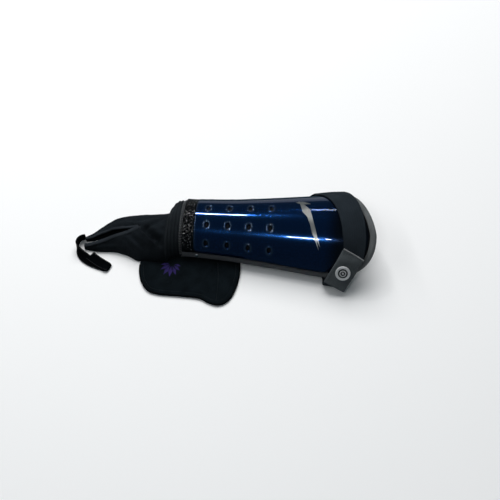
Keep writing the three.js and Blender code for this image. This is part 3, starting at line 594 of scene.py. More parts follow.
def shell_material(colours):
    made, tree, shader = new_material("Metallic blue plastic")
    mask = print_mask(tree, SHELL_PRINT)
    mottle = group_node(tree, mottle_group(), {"Broad": 25.0, "Fine": 5000.0, "Lint": 0.9})
    flecked = blend(tree, mottle["Grain"], scaled(colours.shell, 0.75), scaled(colours.shell, 1.25))
    along = node(tree, "ShaderNodeSeparateXYZ", {0: map_lay(tree)}).outputs[0]
    # Painted shade: darkens the blue towards the knee end, by the strap and under it
    knee = node(tree, "ShaderNodeMapRange", {0: along, 1: KNEE_SHADE_FADE[0], 2: KNEE_SHADE_FADE[1]},
                interpolation_type="SMOOTHSTEP").outputs[0]
    blue = blend(tree, knee, flecked, scaled(colours.shell, KNEE_PAINTED_SHADE))
    # Painted highlight: a lighter blue on the vents' lips and along the ankle edge
    with_lip_highlights = blend(tree, calc(tree, "MULTIPLY", painted_lip_highlight(tree), 0.5), blue, LIP_HIGHLIGHT_BLUE)
    tree.links.new(blend(tree, mask, with_lip_highlights, rgba(colours.shell_print)), shader.inputs["Base Color"])
    tree.links.new(calc(tree, "MULTIPLY_ADD", mask, 0.2, 0.145), shader.inputs["Roughness"])
    shader.inputs["Metallic"].default_value = 0.9
    shader.inputs["Coat Weight"].default_value = 1.0
    shader.inputs["Coat Roughness"].default_value = 0.03
    return made


def strip_material(colours):
    made, tree, shader = new_material("Gloss black plastic")
    mottle = group_node(tree, mottle_group(), {"Broad": 260.0, "Fine": 620.0, "Lint": 0.635})
    # Painted glints: near-white specks on the raised lips of the holes
    glint_speck = calc(tree, "MULTIPLY", painted_lip_highlight(tree), mottle["Lint"], clamp=True)
    tree.links.new(blend(tree, glint_speck, rgba(colours.strip), STRIP_LIP_GLINT), shader.inputs["Base Color"])
    shader.inputs["Roughness"].default_value = 0.2
    shader.inputs["Specular IOR Level"].default_value = 0.3
    shader.inputs["Coat Weight"].default_value = 0.35
    shader.inputs["Coat Roughness"].default_value = 0.04
    return made


# Hard shell and ankle strip


# The arch is laid flat at this radius while a plate's mesh is made
FLAT_RADIUS = 50.0


def inward_normals(outline):
    """Unit normals of a closed outline that point into it."""
    before, after = np.roll(outline, 1, axis=0), np.roll(outline, -1, axis=0)
    along = unit(after - before)
    inward = np.stack([-along[:, 1], along[:, 0]], axis=1)
    area = 0.5 * np.sum(outline[:, 0] * after[:, 1] - after[:, 0] * outline[:, 1])
    return inward if area > 0 else -inward


def nearest(points, others):
    """How far each point is from the nearest of the others."""
    step = 512
    parts = [points[k:k + step] for k in range(0, len(points), step)]
    return np.concatenate([np.sqrt(((part[:, None] - others[None]) ** 2).sum(axis=2)).min(axis=1)
                           for part in parts])


def inside_outline(points, outline):
    """True for each point inside a closed outline."""
    inside = np.zeros(len(points), bool)
    x, y = points[:, 0], points[:, 1]
    for (x0, y0), (x1, y1) in zip(outline, np.roll(outline, -1, axis=0)):
        if y0 == y1:
            continue
        crosses = (y0 > y) != (y1 > y)
        inside ^= crosses & (x < (x1 - x0) * (y - y0) / (y1 - y0) + x0)
    return inside


def hole_grid(places, inner, dish, points, profile):
    """Holes at (x, angle) places. The profile holds (share of the way to the outer size, depth) rows."""
    outer = (inner[0] + dish, inner[1] + dish)
    return [{"x": x, "angle": angle, "inner": inner, "outer": outer, "points": points, "profile": profile}
            for x, angle in places]


def hole_half(hole, share):
    """Half a hole's size, at a share of the way from its inner size to its outer one."""
    return mix(np.array(hole["inner"]), np.array(hole["outer"]), share) / 2


def flat_hole(hole):
    """A hole's centre and stretch where the arch is laid flat."""
    centre = np.array([hole["x"], hole["angle"] * FLAT_RADIUS])
    return centre, np.array([1.0, FLAT_RADIUS / shell_radius(hole["x"])])


def past_hole(points, hole, size):
    """How far flat points lie from a hole's centre, squared, where 1 is half the size."""
    centre, stretch = flat_hole(hole)
    return (((points - centre) / size / stretch) ** 2).sum(axis=1)


def panel(name, outline, holes, lift, wall, edge=0.9, spacing=2.2, sharp=math.radians(38), relief=None):
    """An arched plate. The outline and holes are in x and share of the spread."""
    outline = np.array(outline) * (1, SPREAD * FLAT_RADIUS)
    inward = inward_normals(outline)
    spots = []
    lifts = []
    edges = []

    def ring(points, depth, closed=True):
        start = len(spots)
        spots.extend(points.tolist())
        lifts.extend([depth] * len(points))
        if closed:
            edges.extend((start + k, start + (k + 1) % len(points)) for k in range(len(points)))

    for share in (0.0, 0.12, 0.35, 0.65, 1.0):
        drop = edge * (1 - math.sqrt(max(0.0, 1 - (1 - share) ** 2)))
        ring(outline + inward * edge * share, -drop)
    for hole in holes:
        turns = np.linspace(0, 2 * PI, hole["points"], endpoint=False)
        circle = np.stack([np.cos(turns), np.sin(turns)], axis=1)
        centre, stretch = flat_hole(hole)
        for share, depth in hole["profile"]:
            ring(centre + circle * hole_half(hole, share) * stretch, depth)
    grid_x = np.arange(outline[:, 0].min(), outline[:, 0].max(), spacing)
    grid_y = np.arange(outline[:, 1].min(), outline[:, 1].max(), spacing)
    xs, ys = np.meshgrid(grid_x, grid_y)
    offsets = (np.arange(len(grid_y)) % 2)[:, None] * spacing / 2
    grid = np.stack([(xs + offsets).ravel(), ys.ravel()], axis=1)
    grid = grid[inside_outline(grid, outline)]
    keep = nearest(grid, outline) > edge + spacing * 0.5
    for hole in holes:
        size = hole_half(hole, hole["profile"][-1][0]) + spacing * 0.45
        keep &= past_hole(grid, hole, size) > 1
    ring(grid[keep], 0.0, closed=False)
    found, _, faces, from_spot, _, _ = delaunay_2d_cdt([Vector(s) for s in spots], edges, [], 0, 1e-5)
    found = np.array([tuple(v) for v in found])
    depth = np.array([lifts[origin[0]] if origin else 0.0 for origin in from_spot])
    middles = np.array([found[list(face)].mean(axis=0) for face in faces])
    kept = inside_outline(middles, outline)
    for hole in holes:
        kept &= past_hole(middles, hole, hole_half(hole, 0.0)) > 0.97
    faces = [list(face) for face, good in zip(faces, kept) if good]
    x, angle = found[:, 0], found[:, 1] / FLAT_RADIUS
    raised = 0.0 if relief is None else relief(x, angle)
    outer = on_arch(x, angle, lift + depth + raised)
    inner = on_arch(x, angle, lift - wall)
    return walled(name, outer, inner, faces, np.stack([x, angle * shell_radius(x)], axis=1), sharp)


def arch_places(mesh):
    """Each point's x along the leg, angle from the crown, and distance from the arch's axis."""
    spots = np.array([tuple(v.co) for v in mesh.vertices])
    x, y, z = ((spots - ORIGIN) / MM).T
    height = z - arch_centre(x)
    return x, np.arctan2(y, height), np.hypot(y, height)


def from_hole(hole, x, angle):
    """How far points lie from a hole's centre, along the leg and round it."""
    return x - hole["x"], (angle - hole["angle"]) * shell_radius(hole["x"])


def true_normals(mesh, holes):
    """Gives the open outer face its exact normals, so that reflections run straight over it."""
    x, angle, radius = arch_places(mesh)
    plain = np.abs(radius - shell_radius(x)) < 0.004
    for hole in holes:
        along, around = from_hole(hole, x, angle)
        reach = 1.4 * (np.array(hole["outer"]) - hole["inner"]) + hole["inner"]
        plain &= np.hypot(along / reach[0], around / reach[1]) * 2 > 1
    ahead = on_arch(x + 0.5, angle) - on_arch(x - 0.5, angle)
    across = on_arch(x, angle + 0.01) - on_arch(x, angle - 0.01)
    normals = unit(np.cross(ahead, across))
    normals *= np.sign(normals[:, 2:])
    normals[~plain] = 0
    mesh.normals_split_custom_set_from_vertices(normals.tolist())


def paint_lip_highlights(mesh, holes, edge=0.0):
    """Stores a painted highlight on each point: strongest on the raised lip of a hole, and, where edge is
    given, in a wavy line along the ankle edge.
    """
    x, angle, _ = arch_places(mesh)
    painted_glint = np.zeros(len(x))
    for hole in holes:
        along, around = from_hole(hole, x, angle)
        reach = np.hypot(along, around)
        ratio = np.maximum(np.hypot(along / hole["inner"][0], around / hole["inner"][1]) * 2, 1e-6)
        share = (reach - reach / ratio) / ((hole["outer"][0] - hole["inner"][0]) / 2)
        painted_glint = np.maximum(painted_glint, np.exp(-(((share - 1.15) / 0.32) ** 2)))
    # A painted highlight in a wavy line along the ankle edge
    scallops = 0.55 + 0.45 * np.sin(2 * PI * angle * ANKLE_RADIUS / STRIP_BEADS_FAR)
    painted_glint = np.maximum(painted_glint, edge * scallops * np.exp(-(((x - 0.5) / 0.55) ** 2)))
    mesh.attributes.new("painted_glint", "FLOAT", "POINT").data.foreach_set("value", painted_glint)


def shell_outline():
    """Outline of the shell as x and share of the spread."""
    shares = eased(np.linspace(0, 1, 150))
    ankle = np.stack([ankle_start(shares), shares], axis=1)
    knee = np.stack([knee_end(shares), shares], axis=1)
    far = np.stack([np.linspace(ANKLE_CORNER, knee[-1, 0], 60), np.ones(60)], axis=1)
    near = np.stack([np.linspace(knee[0, 0], ANKLE_CORNER, 60), -np.ones(60)], axis=1)
    return np.concatenate([ankle, far[1:-1], knee[::-1], near[1:-1]])


# Walls of the holes from inside to outside: share of the dish, and depth below the face
VENT_PROFILE = (
    (0, -1.2), (0.08, -1.0), (0.2, -0.8), (0.35, -0.58), (0.5, -0.38), (0.65, -0.21), (0.8, -0.09),
    (0.92, -0.01), (1.02, 0.05), (1.14, 0.14), (1.26, 0.17), (1.4, 0.1), (1.52, 0.03), (1.65, 0.0),
)
STRIP_HOLE_PROFILE = ((0, -0.5), (0.45, -0.2), (0.8, 0.06), (1.05, 0.16), (1.3, 0.1), (1.6, 0.0))


class ShellOperator(bpy.types.Operator):
    """Makes the hard shell with its countersunk vents"""
    bl_idname = "shin_guard.shell"
    bl_label = "Hard shell"

    def execute(self, context):
        dish = context.scene.shin_guard_sizes.vent_dish / MM
        places = [(VENT_FIRST + column * VENT_PITCH, (row - (VENT_ROWS - 1) / 2) * VENT_ROW_ANGLE)
                  for column in range(VENT_COLUMNS) for row in range(VENT_ROWS)]
        holes = hole_grid(places, VENT_SIZE, dish, 48, VENT_PROFILE)
        mesh = panel("shell_skin", shell_outline(), holes, 0.0, SHELL_WALL)
        # Paints highlights on the vents' lips and along the ankle edge
        paint_lip_highlights(mesh, holes, edge=0.9)
        true_normals(mesh, holes)
        material = shell_material(context.scene.shin_guard_colours)
        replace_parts(link("shell_skin", mesh, material), "shell")
        return {"FINISHED"}


def strip_outline():
    """Outline of the perforated strip as x and share of the spread."""
    shares = eased(np.linspace(0, 1, 120))
    start = np.stack([np.full(120, FOAM_START), shares], axis=1)
    end = np.stack([ankle_start(shares) - GAP, shares], axis=1)
    far = np.stack([np.linspace(FOAM_START, end[-1, 0], 12), np.ones(12)], axis=1)
    near = np.stack([np.linspace(end[0, 0], FOAM_START, 12), -np.ones(12)], axis=1)
    return np.concatenate([start, far[1:-1], end[::-1], near[1:-1]])


def strip_beads(x, angle):
    """Height of the small moulded beads along both sides of the strip."""
    arc = 2 * PI * angle * ANKLE_RADIUS
    left = np.exp(-(((x - FOAM_START - 1.1) / 0.8) ** 2)) * (0.55 + 0.45 * np.sin(arc / STRIP_BEADS_NEAR))
    right = np.exp(-(((x + GAP + 1.0) / 0.8) ** 2)) * (0.55 + 0.45 * np.sin(arc / STRIP_BEADS_FAR + 1.0))
    return 0.42 * np.maximum(left, right)


class FlangeOperator(bpy.types.Operator):
    """Makes the perforated strip at the ankle end of the shell"""
    bl_idname = "shin_guard.flange"
    bl_label = "Ankle strip"

    def execute(self, context):
        places = []
        for column in range(STRIP_HOLE_COLUMNS):
            for row in range(STRIP_HOLE_ROWS):
                share = 2 * (row + 0.5 * (column % 2)) / STRIP_HOLE_ROWS - 1
                x = FOAM_START + STRIP_HOLE_FIRST + column * STRIP_HOLE_PITCH
                places.append((x, SPREAD * STRIP_HOLE_SPREAD * share))
        holes = hole_grid(places, STRIP_HOLE_SIZE, STRIP_HOLE_DISH, 14, STRIP_HOLE_PROFILE)
        mesh = panel("ankle_strip", strip_outline(), holes, -STRIP_STEP, STRIP_WALL, edge=0.5, spacing=0.9,
                     relief=strip_beads)
        # Paints glints on the lips of the strip's holes
        paint_lip_highlights(mesh, holes)
        material = strip_material(context.scene.shin_guard_colours)
        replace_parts(link("ankle_strip", mesh, material), "ankle_flange")
        return {"FINISHED"}


# Foam, binding and rivets

EDGE_STATIONS = 80
EDGE_SECTORS = 120


def foam_node(i, j):
    share = eased(j / EDGE_SECTORS)
    x = mix(FOAM_START, knee_end(share), i / EDGE_STATIONS)
    return np.stack([x, share * SPREAD * shell_radius(x)], axis=-1)


EDGE_NODES = np.array(
    [(i, 0) for i in range(EDGE_STATIONS)]
    + [(EDGE_STATIONS, j) for j in range(EDGE_SECTORS + 1)]
    + [(i, EDGE_SECTORS) for i in range(EDGE_STATIONS - 1, -1, -1)])
EDGE_PATH = foam_node(EDGE_NODES[:, 0], EDGE_NODES[:, 1])


def shifted(rows, step):
    """Each row's neighbour, with the ends kept."""
    return rows[np.clip(np.arange(len(rows)) + step, 0, len(rows) - 1)]


def outside_edge(distance):
    along = unit(shifted(EDGE_PATH, 1) - shifted(EDGE_PATH, -1))
    return EDGE_PATH + np.stack([along[:, 1], -along[:, 0]], axis=1) * distance


def on_foam(spots, lift):
    x, arc = spots[..., 0], spots[..., 1]
    return on_arch(x, arc / shell_radius(x), FOAM_LIFT + lift)


def rim_frames():
    """Along the foam's rim: its outer corner, the way in over the margin, and the normal."""
    outer = on_foam(outside_edge(FOAM_MARGIN), FOAM_FLARE)
    along = unit(shifted(outer, 1) - shifted(outer, -1))
    inwards = on_foam(outside_edge(FOAM_CREASE), 0) - outer
    inwards = unit(inwards - along * np.sum(inwards * along, axis=1, keepdims=True))
    return outer, inwards, unit(np.cross(along, inwards))


def arch_normal(spots):
    step = np.array([[1.0, 0.0], [0.0, 1.0]])
    along = on_foam(spots + step[0], 0) - on_foam(spots - step[0], 0)
    around = on_foam(spots + step[1], 0) - on_foam(spots - step[1], 0)
    return unit(np.cross(along, around))


class FoamOperator(bpy.types.Operator):
    """Makes the foam under the shell, with sewn channels on the leg's side"""
    bl_idname = "shin_guard.foam"
    bl_label = "Foam backing"

    def execute(self, context):
        depth = context.scene.shin_guard_sizes.channel_depth / MM
        columns, rows = EDGE_STATIONS + 1, EDGE_SECTORS + 2
        rim_outer, _, rim_normal = rim_frames()
        crease = outside_edge(FOAM_CREASE)
        number = {tuple(n): k for k, n in enumerate(EDGE_NODES.tolist())}
        top = []
        bottom = []
        uv = []
        for i in range(columns + 1):
            for j in range(rows + 1):
                station, sector = min(i, EDGE_STATIONS), min(max(j - 1, 0), EDGE_SECTORS)
                n = number.get((station, sector))
                if station != i or sector != j - 1:
                    top.append(rim_outer[n])
                    bottom.append(rim_outer[n] - rim_normal[n] * FOAM_THICKNESS)
                    uv.append(tuple(EDGE_PATH[n]))
                    continue
                spot = foam_node(station, sector) if n is None else crease[n]
                face, normal = on_foam(spot, 0), arch_normal(spot)
                off = (spot[0] + 200) % CHANNEL_PITCH - CHANNEL_PITCH / 2
                channel = math.exp(-(off / CHANNEL_WIDTH) ** 2)
                inner = 0.0 if n is not None else channel * depth
                top.append(face)
                bottom.append(face - normal * (FOAM_THICKNESS - inner))
                uv.append(tuple(spot))
        mesh = walled("foam_lining", np.array(top), np.array(bottom), grid_faces(columns, rows), uv)
        material = cloth_material("Foam lining", context.scene.shin_guard_colours.foam, (1.2, 1.2, 0.0),
                                  relief=0.05, contrast=0.25)
        foam = link("foam_lining", mesh, material)
        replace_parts(foam, "foam_backing")
        return {"FINISHED"}


def darken_sides(material, colour):
    """The tape is grey round the knee and dark along the sides."""
    tree = material.node_tree
    shader = tree.nodes["Principled BSDF"]
    cloth = shader.inputs["Base Color"].links[0].from_socket
    place = node(tree, "ShaderNodeTexCoord").outputs["Object"]
    along = node(tree, "ShaderNodeSeparateXYZ", {0: place}).outputs[0]
    start, end = (float(ORIGIN[0] + x * MM) for x in BINDING_FADE)
    share = node(tree, "ShaderNodeMapRange", {0: along, 1: start, 2: end}, interpolation_type="SMOOTHSTEP")
    tree.links.new(blend(tree, share.outputs[0], rgba(colour), cloth), shader.inputs["Base Color"])


def binding_section():
    """Section of the folded tape, as rows of reach in over the foam and height from its middle."""
    slot = FOAM_THICKNESS / 2 + BINDING_CLEARANCE
    half = slot + BINDING_WALL
    back = -BINDING_CLEARANCE - BINDING_WALL
    bend = back + BINDING_BEND
    top = [(bend + (BINDING_REACH - bend) * t, half + 0.25 * math.sin(PI * t))
           for t in (0.9, 0.7, 0.5, 0.3, 0.1)]
    fold = []
    for turn in np.linspace(0, PI, 15):
        height = math.copysign(abs(math.cos(turn)) ** 0.7, math.cos(turn))
        fold.append((back + BINDING_BEND * (1 - math.sin(turn)), half * height))
    return [
        (BINDING_REACH, half - BINDING_LIP), (BINDING_REACH - BINDING_LIP, half), *top, *fold,
        (BINDING_REACH - BINDING_LIP, -half), (BINDING_REACH, -half + BINDING_LIP), (BINDING_REACH, -slot),
        (-BINDING_CLEARANCE, -slot), (-BINDING_CLEARANCE, slot), (BINDING_REACH, slot),
    ]


class BindingOperator(bpy.types.Operator):
    """Makes the woven strip that is folded over the foam's rim, and its stitches"""
    bl_idname = "shin_guard.binding"
    bl_label = "Edge binding"

    def execute(self, context):
        outer, inwards, normal = rim_frames()
        rim = outer - normal * FOAM_THICKNESS / 2
        rings = np.stack([rim + inwards * reach + normal * height
                          for reach, height in binding_section()], axis=1)
        colours = context.scene.shin_guard_colours
        material = cloth_material("Binding tape", colours.binding, (0.9, 1.1, 0.5), relief=0.16,
                                  contrast=0.45, roughness=0.75)
        darken_sides(material, colours.binding_side)
        mesh = sweep("binding_tape", rings, math.radians(60))
        binding = link("binding_tape", mesh, material)
        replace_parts(binding, "edge_binding")
        face = FOAM_THICKNESS / 2 + BINDING_CLEARANCE + BINDING_WALL
        row = rim + inwards * (BINDING_REACH - 1.4) + normal * (face + 0.1)
        # The thread is light grey partly so that the binding's stitch row paints the highlight line along
        # the guard's lower edge
        thread = plain_material("Grey thread", colours.thread, 0.7)
        stitch_rows("binding_stitches", [row], thread, pitch=3.4, length=2.2, width=0.5)
        return {"FINISHED"}


class RivetOperator(bpy.types.Operator):
    """Makes the two rivets at the ankle corners"""
    bl_idname = "shin_guard.rivets"
    bl_label = "Rivets"

    def execute(self, context):
        outer, inwards, normal = rim_frames()
        edge = outside_edge(0)
        steel = plain_material("Polished steel", (0.62, 0.63, 0.64), 0.22, metallic=1.0)
        half = len(EDGE_NODES) // 2
        for name, part in (("rivet_near", slice(0, half)), ("rivet_far", slice(half, None))):
            n = int(np.argmin(np.abs(edge[part, 0] - RIVET_FROM_END))) + (part.start or 0)
            seat = BINDING_CLEARANCE + BINDING_WALL + GAP - 0.15
            centre = outer[n] + inwards[n] * RIVET_FROM_RIM + normal[n] * seat
            turns = np.linspace(0, PI / 2, 12)
            profile = [(0, 0), (RIVET_RADIUS, 0), (RIVET_RADIUS, 0.25)]
            profile += [(RIVET_RADIUS * math.cos(a), 0.25 + (RIVET_HEIGHT - 0.25) * math.sin(a))
                        for a in turns[1:-1]]
            profile += [(0, RIVET_HEIGHT)]
            mesh = lathe(name + "_cap", profile, centre, normal[n], 32)
            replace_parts(link(name + "_cap", mesh, steel), name)
        return {"FINISHED"}


# Stitches


def stitch_tree():
    """Geometry Nodes that lay short round threads end to end along curves."""
    tree = bpy.data.node_groups.new("Stitch row", "GeometryNodeTree")
    tree.interface.new_socket("Rows", in_out="INPUT", socket_type="NodeSocketGeometry")
    for name, value in (("Pitch", 3 * MM), ("Length", 2 * MM), ("Width", 0.5 * MM)):
        socket = tree.interface.new_socket(name, in_out="INPUT", socket_type="NodeSocketFloat")
        socket.default_value = value
    tree.interface.new_socket("Thread", in_out="INPUT", socket_type="NodeSocketMaterial")
    tree.interface.new_socket("Stitches", in_out="OUTPUT", socket_type="NodeSocketGeometry")
    entry = tree.nodes.new("NodeGroupInput").outputs
    leave = tree.nodes.new("NodeGroupOutput")
    curve = node(tree, "GeometryNodeMeshToCurve", {"Mesh": entry["Rows"]})
    spots = node(tree, "GeometryNodeResampleCurve", {"Curve": curve.outputs[0], "Length": entry["Pitch"]},
                 mode="LENGTH")
    tangent = node(tree, "GeometryNodeInputTangent")
    turn = node(tree, "FunctionNodeAlignRotationToVector", {"Vector": tangent.outputs[0]}, axis="Z")
    thread = node(tree, "GeometryNodeMeshUVSphere", {"Segments": 6, "Rings": 4, "Radius": 0.5})
    size = node(tree, "ShaderNodeCombineXYZ", {0: entry["Width"], 1: entry["Width"], 2: entry["Length"]})
    laid = node(tree, "GeometryNodeInstanceOnPoints", {
        "Points": spots.outputs[0], "Instance": thread.outputs[0], "Rotation": turn.outputs[0],
        "Scale": size.outputs[0]})
    real = node(tree, "GeometryNodeRealizeInstances", {"Geometry": laid.outputs[0]})
    painted = node(tree, "GeometryNodeSetMaterial", {
        "Geometry": real.outputs[0], "Material": entry["Thread"]})
    tree.links.new(painted.outputs[0], leave.inputs[0])
    return tree


def stitch_rows(name, rows, thread, pitch, length, width):
    """Stitches along rows of points in millimetres, as one piece."""
    tree = bpy.data.node_groups.get("Stitch row") or stitch_tree()
    points = []
    edges = []
    for row in rows:
        start = len(points)
        points.extend((ORIGIN + np.asarray(row) * MM).tolist())
        edges.extend((start + k, start + k + 1) for k in range(len(row) - 1))
    mesh = bpy.data.meshes.new(name + "_rows")
    mesh.from_pydata(points, edges, [])
    guide = bpy.data.objects.new(name + "_rows", mesh)
    bpy.context.scene.collection.objects.link(guide)
    modifier = guide.modifiers.new("Stitches", "NODES")
    modifier.node_group = tree
    values = {"Pitch": pitch * MM, "Length": length * MM, "Width": width * MM, "Thread": thread}
    for item in tree.interface.items_tree:
        if item.name in values:
            modifier[item.identifier] = values[item.name]
    graph = bpy.context.evaluated_depsgraph_get()
    result = bpy.data.meshes.new_from_object(guide.evaluated_get(graph), depsgraph=graph)
    bpy.data.objects.remove(guide)
    result.materials.clear()
    result.polygons.foreach_set("use_smooth", [True] * len(result.polygons))
    return link(name, result, thread)


# Collar and sleeve


def columns_of(rows):
    """A smooth curve for each column of a table, against its first column."""
    table = np.array(rows, float)
    return [through(table[:, [0, k]]) for k in range(1, table.shape[1])]


sleeve_near, sleeve_far, sleeve_tall, sleeve_slump = columns_of(SLEEVE_SECTIONS)
mouth_near, mouth_far = columns_of(MOUTH_EDGES)


def sleeve_section(along):
    return np.array([
        SLEEVE_SHIFT - SLEEVE_HALF * sleeve_near(along), SLEEVE_SHIFT + SLEEVE_HALF * sleeve_far(along),
        SLEEVE_HEIGHT * sleeve_tall(along), sleeve_slump(along)])


def over_back(section, lean, inset=0.0):
    """Height of a tube's back, where lean runs from -1 at its near side to 1 at its far side."""
    _, _, height, slump = section
    lean = np.clip(lean, -1, 1)
    power = mix(0.8, slump, (1 - lean) / 2)
    return inset + (height - 2 * inset) * np.sqrt(np.maximum(0, 1 - lean * lean)) ** power


def tube_row(section, lean, under, inset):
    """Points of a section, as lean over its back or under it."""
    near, far = section[0], section[1]
    middle, half = (near + far) / 2, (far - near) / 2 - inset
    back = over_back(section, lean, inset)
    return np.stack([middle + half * lean, np.where(under, inset, back)], axis=-1)


class CollarOperator(bpy.types.Operator):
    """Makes the ribbed knit collar between the guard and the sleeve"""
    bl_idname = "shin_guard.collar"
    bl_label = "Ribbed collar"

    def execute(self, context):
        rib_height = context.scene.shin_guard_sizes.rib_height / MM
        stations, back_rows, under_rows = 100, 110, 24
        radius = shell_radius(0) + FOAM_LIFT - COLLAR_STEP
        start = np.array([-radius, radius, arch_centre(0) + radius, 0.8])
        end = sleeve_section(0)
        lean = np.concatenate([
            np.cos(np.linspace(0, PI, back_rows + 1)), np.linspace(-1, 1, under_rows + 1)[1:]])
        under = np.arange(len(lean)) > back_rows
        faces = []
        for side in (1, 0):
            rows = []
            for i in range(stations + 1):
                share = i / stations
                fall = np.array([COLLAR_SPREAD, COLLAR_DROP, COLLAR_DROP, COLLAR_DROP])
                section = mix(start, end, share ** fall)
                flat = tube_row(section, lean, under, CLOTH * (1 - side))
                ribs = (1 - math.cos(2 * PI * COLLAR_RIBS * share)) / 2
                soft = 0.12 * math.sin(2 * PI * 2.3 * share + 1.0)
                rib = side * (ribs * rib_height + soft) * smoothstep(flat[:, 1], 1.0, 5.0)
                y = flat[:, 0] + rib * lean * 0.6
                z = flat[:, 1] + rib * np.sqrt(np.maximum(0, 1 - lean * lean))
                x = COLLAR_START - share * (COLLAR_LENGTH + GAP * 0.7)
                rows.append(np.stack([np.full_like(y, x), y, z], axis=1))
            faces.append(np.array(rows))
        outer, inner = faces
        around = run_along(outer[0])
        uv = [(share * COLLAR_LENGTH, a) for share in np.linspace(0, 1, stations + 1) for a in around]
        mesh = walled("rib_collar", outer.reshape(-1, 3), inner.reshape(-1, 3),
                      grid_faces(stations, len(lean) - 1), uv)
        colours = context.scene.shin_guard_colours
        material = cloth_material("Ribbed knit", colours.collar, (0.7, 0.9, 0.0), relief=0.22, contrast=0.35)
        collar = link("rib_collar", mesh, material)
        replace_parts(collar, "collar")
        near_end = int(0.02 * stations) + 1
        back = outer[near_end:near_end + 14:6, 4:back_rows - 3] + (0.0, 0.0, 0.05)
        thread = plain_material("Light thread", colours.light_thread, 0.5)
        stitch_rows("collar_stitches", list(back), thread, pitch=3.4, length=2.3, width=0.8)
        return {"FINISHED"}


# Folds in the sleeve: start along and across, end along and across, depth, width, lap.
# With a lap of 1 the cloth on the toe's side lies over the rest.
SLEEVE_FOLDS = (
    (0.345, 0.15, 0.1, -0.6, 8.0, 5.6, 1), (0.3, 0.3, 0.5, 0.2, 1.9, 2.8, 0),
    (0.45, -0.15, 0.24, -0.74, 1.9, 3.0, 0), (0.14, 0.66, 0.46, 0.55, 1.4, 4.0, 0),
    (0.02, -0.1, 0.12, -0.8, 1.6, 3.6, 0), (0.5, -0.36, 0.33, -0.88, 1.4, 2.6, 0),
    (0.7, 0.44, 0.42, 0.76, 1.0, 3.6, 0), (0.6, -0.45, 0.84, -0.52, 1.0, 2.2, 0),
    (0.03, 0.55, 0.2, 0.1, 1.4, 4.2, 0), (0.28, 0.02, 0.14, 0.36, 1.2, 2.6, 0),
    (0.24, -0.3, 0.05, -0.36, 1.1, 3.0, 0), (0.28, 0.14, 0.04, -0.58, 3.8, 3.6, 0),
)


def sleeve_folds(x, y):
    """How far the folds and wrinkles pull the sleeve's back down at a place."""
    depth = np.zeros_like(x)
    for along0, across0, along1, across1, deep, width, lap in SLEEVE_FOLDS:
        start = np.array([SLEEVE_START - along0 * SLEEVE_LENGTH, SLEEVE_SHIFT + across0 * SLEEVE_HALF])
        way = np.array([SLEEVE_START - along1 * SLEEVE_LENGTH, SLEEVE_SHIFT + across1 * SLEEVE_HALF]) - start
        share = np.clip(((x - start[0]) * way[0] + (y - start[1]) * way[1]) / (way @ way), 0, 1)
        off = np.hypot(x - start[0] - way[0] * share, y - start[1] - way[1] * share)
        ends = 0.3 + 0.7 * np.sin(PI * np.clip(share, 0.1, 0.9))
        if lap:
            side = np.sign(way[0] * (y - start[1]) - way[1] * (x - start[0])) * off
            under = smoothstep(side, -1.3, 0.9)
            depth += deep * ends * (under * np.exp(-np.maximum(side, 0) / (1.7 * width))
                                    - 0.3 * (1 - under) * np.exp(np.minimum(side, 0) / width))
        else:
            ridge = np.exp(-((off - 1.8 * width) / width) ** 2)
            depth += deep * ends * (np.exp(-(off / width) ** 2) - 0.3 * ridge)
    return depth


def sleeve_height(along, across):
    """Height of the sleeve's back at a share of its length and of its half width."""
    section = sleeve_section(along)
    near, far = section[0], section[1]
    y = SLEEVE_SHIFT + across * SLEEVE_HALF
    back = over_back(section, (y - (near + far) / 2) / ((far - near) / 2))
    return y, back - fold_at(SLEEVE_START - along * SLEEVE_LENGTH, y, back)


def fold_at(x, y, back):
    x, y = np.broadcast_arrays(np.asarray(x, float), np.asarray(y, float))
    return sleeve_folds(x, y) * smoothstep(back, 3.0, 9.0)


def wrinkle(x, y, z):
    """Small seeded creases in the knit, in millimetres."""
    creases = [noise.noise(Vector((a * 0.08, b * 0.15, c * 0.1))) * 0.7
               + noise.noise(Vector((a * 0.28, b * 0.34, 7.0))) * 0.22
               for a, b, c in zip(np.ravel(x), np.ravel(y), np.ravel(z))]
    return np.array(creases).reshape(np.shape(x))


SLEEVE_STATIONS = 150
SLEEVE_SIDE_ROWS = 52
SLEEVE_UNDER_ROWS = 16
SLEEVE_MOUTH_ROWS = 10


def sleeve_ring(along):
    """The outer and inner points of a ring, from the near lip of the mouth round to the far one."""
    section = sleeve_section(along)
    near, far = section[0], section[1]
    middle, half = (near + far) / 2, (far - near) / 2
    near_lean = (SLEEVE_SHIFT + mouth_near(along) * SLEEVE_HALF - middle) / half
    far_lean = (SLEEVE_SHIFT + mouth_far(along) * SLEEVE_HALF - middle) / half
    near_turn, far_turn = (math.acos(np.clip(lean, -1, 1)) for lean in (near_lean, far_lean))
    lean = np.concatenate([
        np.cos(np.linspace(near_turn, PI, SLEEVE_SIDE_ROWS + 1)),
        np.linspace(-1, near_lean, SLEEVE_UNDER_ROWS + 1)[1:],
        np.linspace(near_lean, far_lean, SLEEVE_MOUTH_ROWS + 1)[1:],
        np.linspace(far_lean, 1, SLEEVE_UNDER_ROWS + 1)[1:],
        np.cos(np.linspace(0, far_turn, SLEEVE_SIDE_ROWS + 1))[1:],
    ])
    under = np.zeros(len(lean), bool)
    under[SLEEVE_SIDE_ROWS + 1:-SLEEVE_SIDE_ROWS] = True
    x = np.full(len(lean), SLEEVE_START - along * SLEEVE_LENGTH)
    y, back = tube_row(section, lean, under, 0.0).T
    crease = fold_at(x, y, back) - wrinkle(x, y, back) * smoothstep(back, 2.0, 6.0)
    flat = under | (np.abs(lean) > 0.9999)
    top = np.where(flat, back, np.maximum(back - crease, CLOTH + 0.3))
    outer = np.stack([x, y, top], axis=1)
    y, back = tube_row(section, lean, under, CLOTH).T
    lining = np.where(under, back, np.maximum(np.minimum(back, top - CLOTH), CLOTH))
    return outer, np.stack([x, y, lining], axis=1)


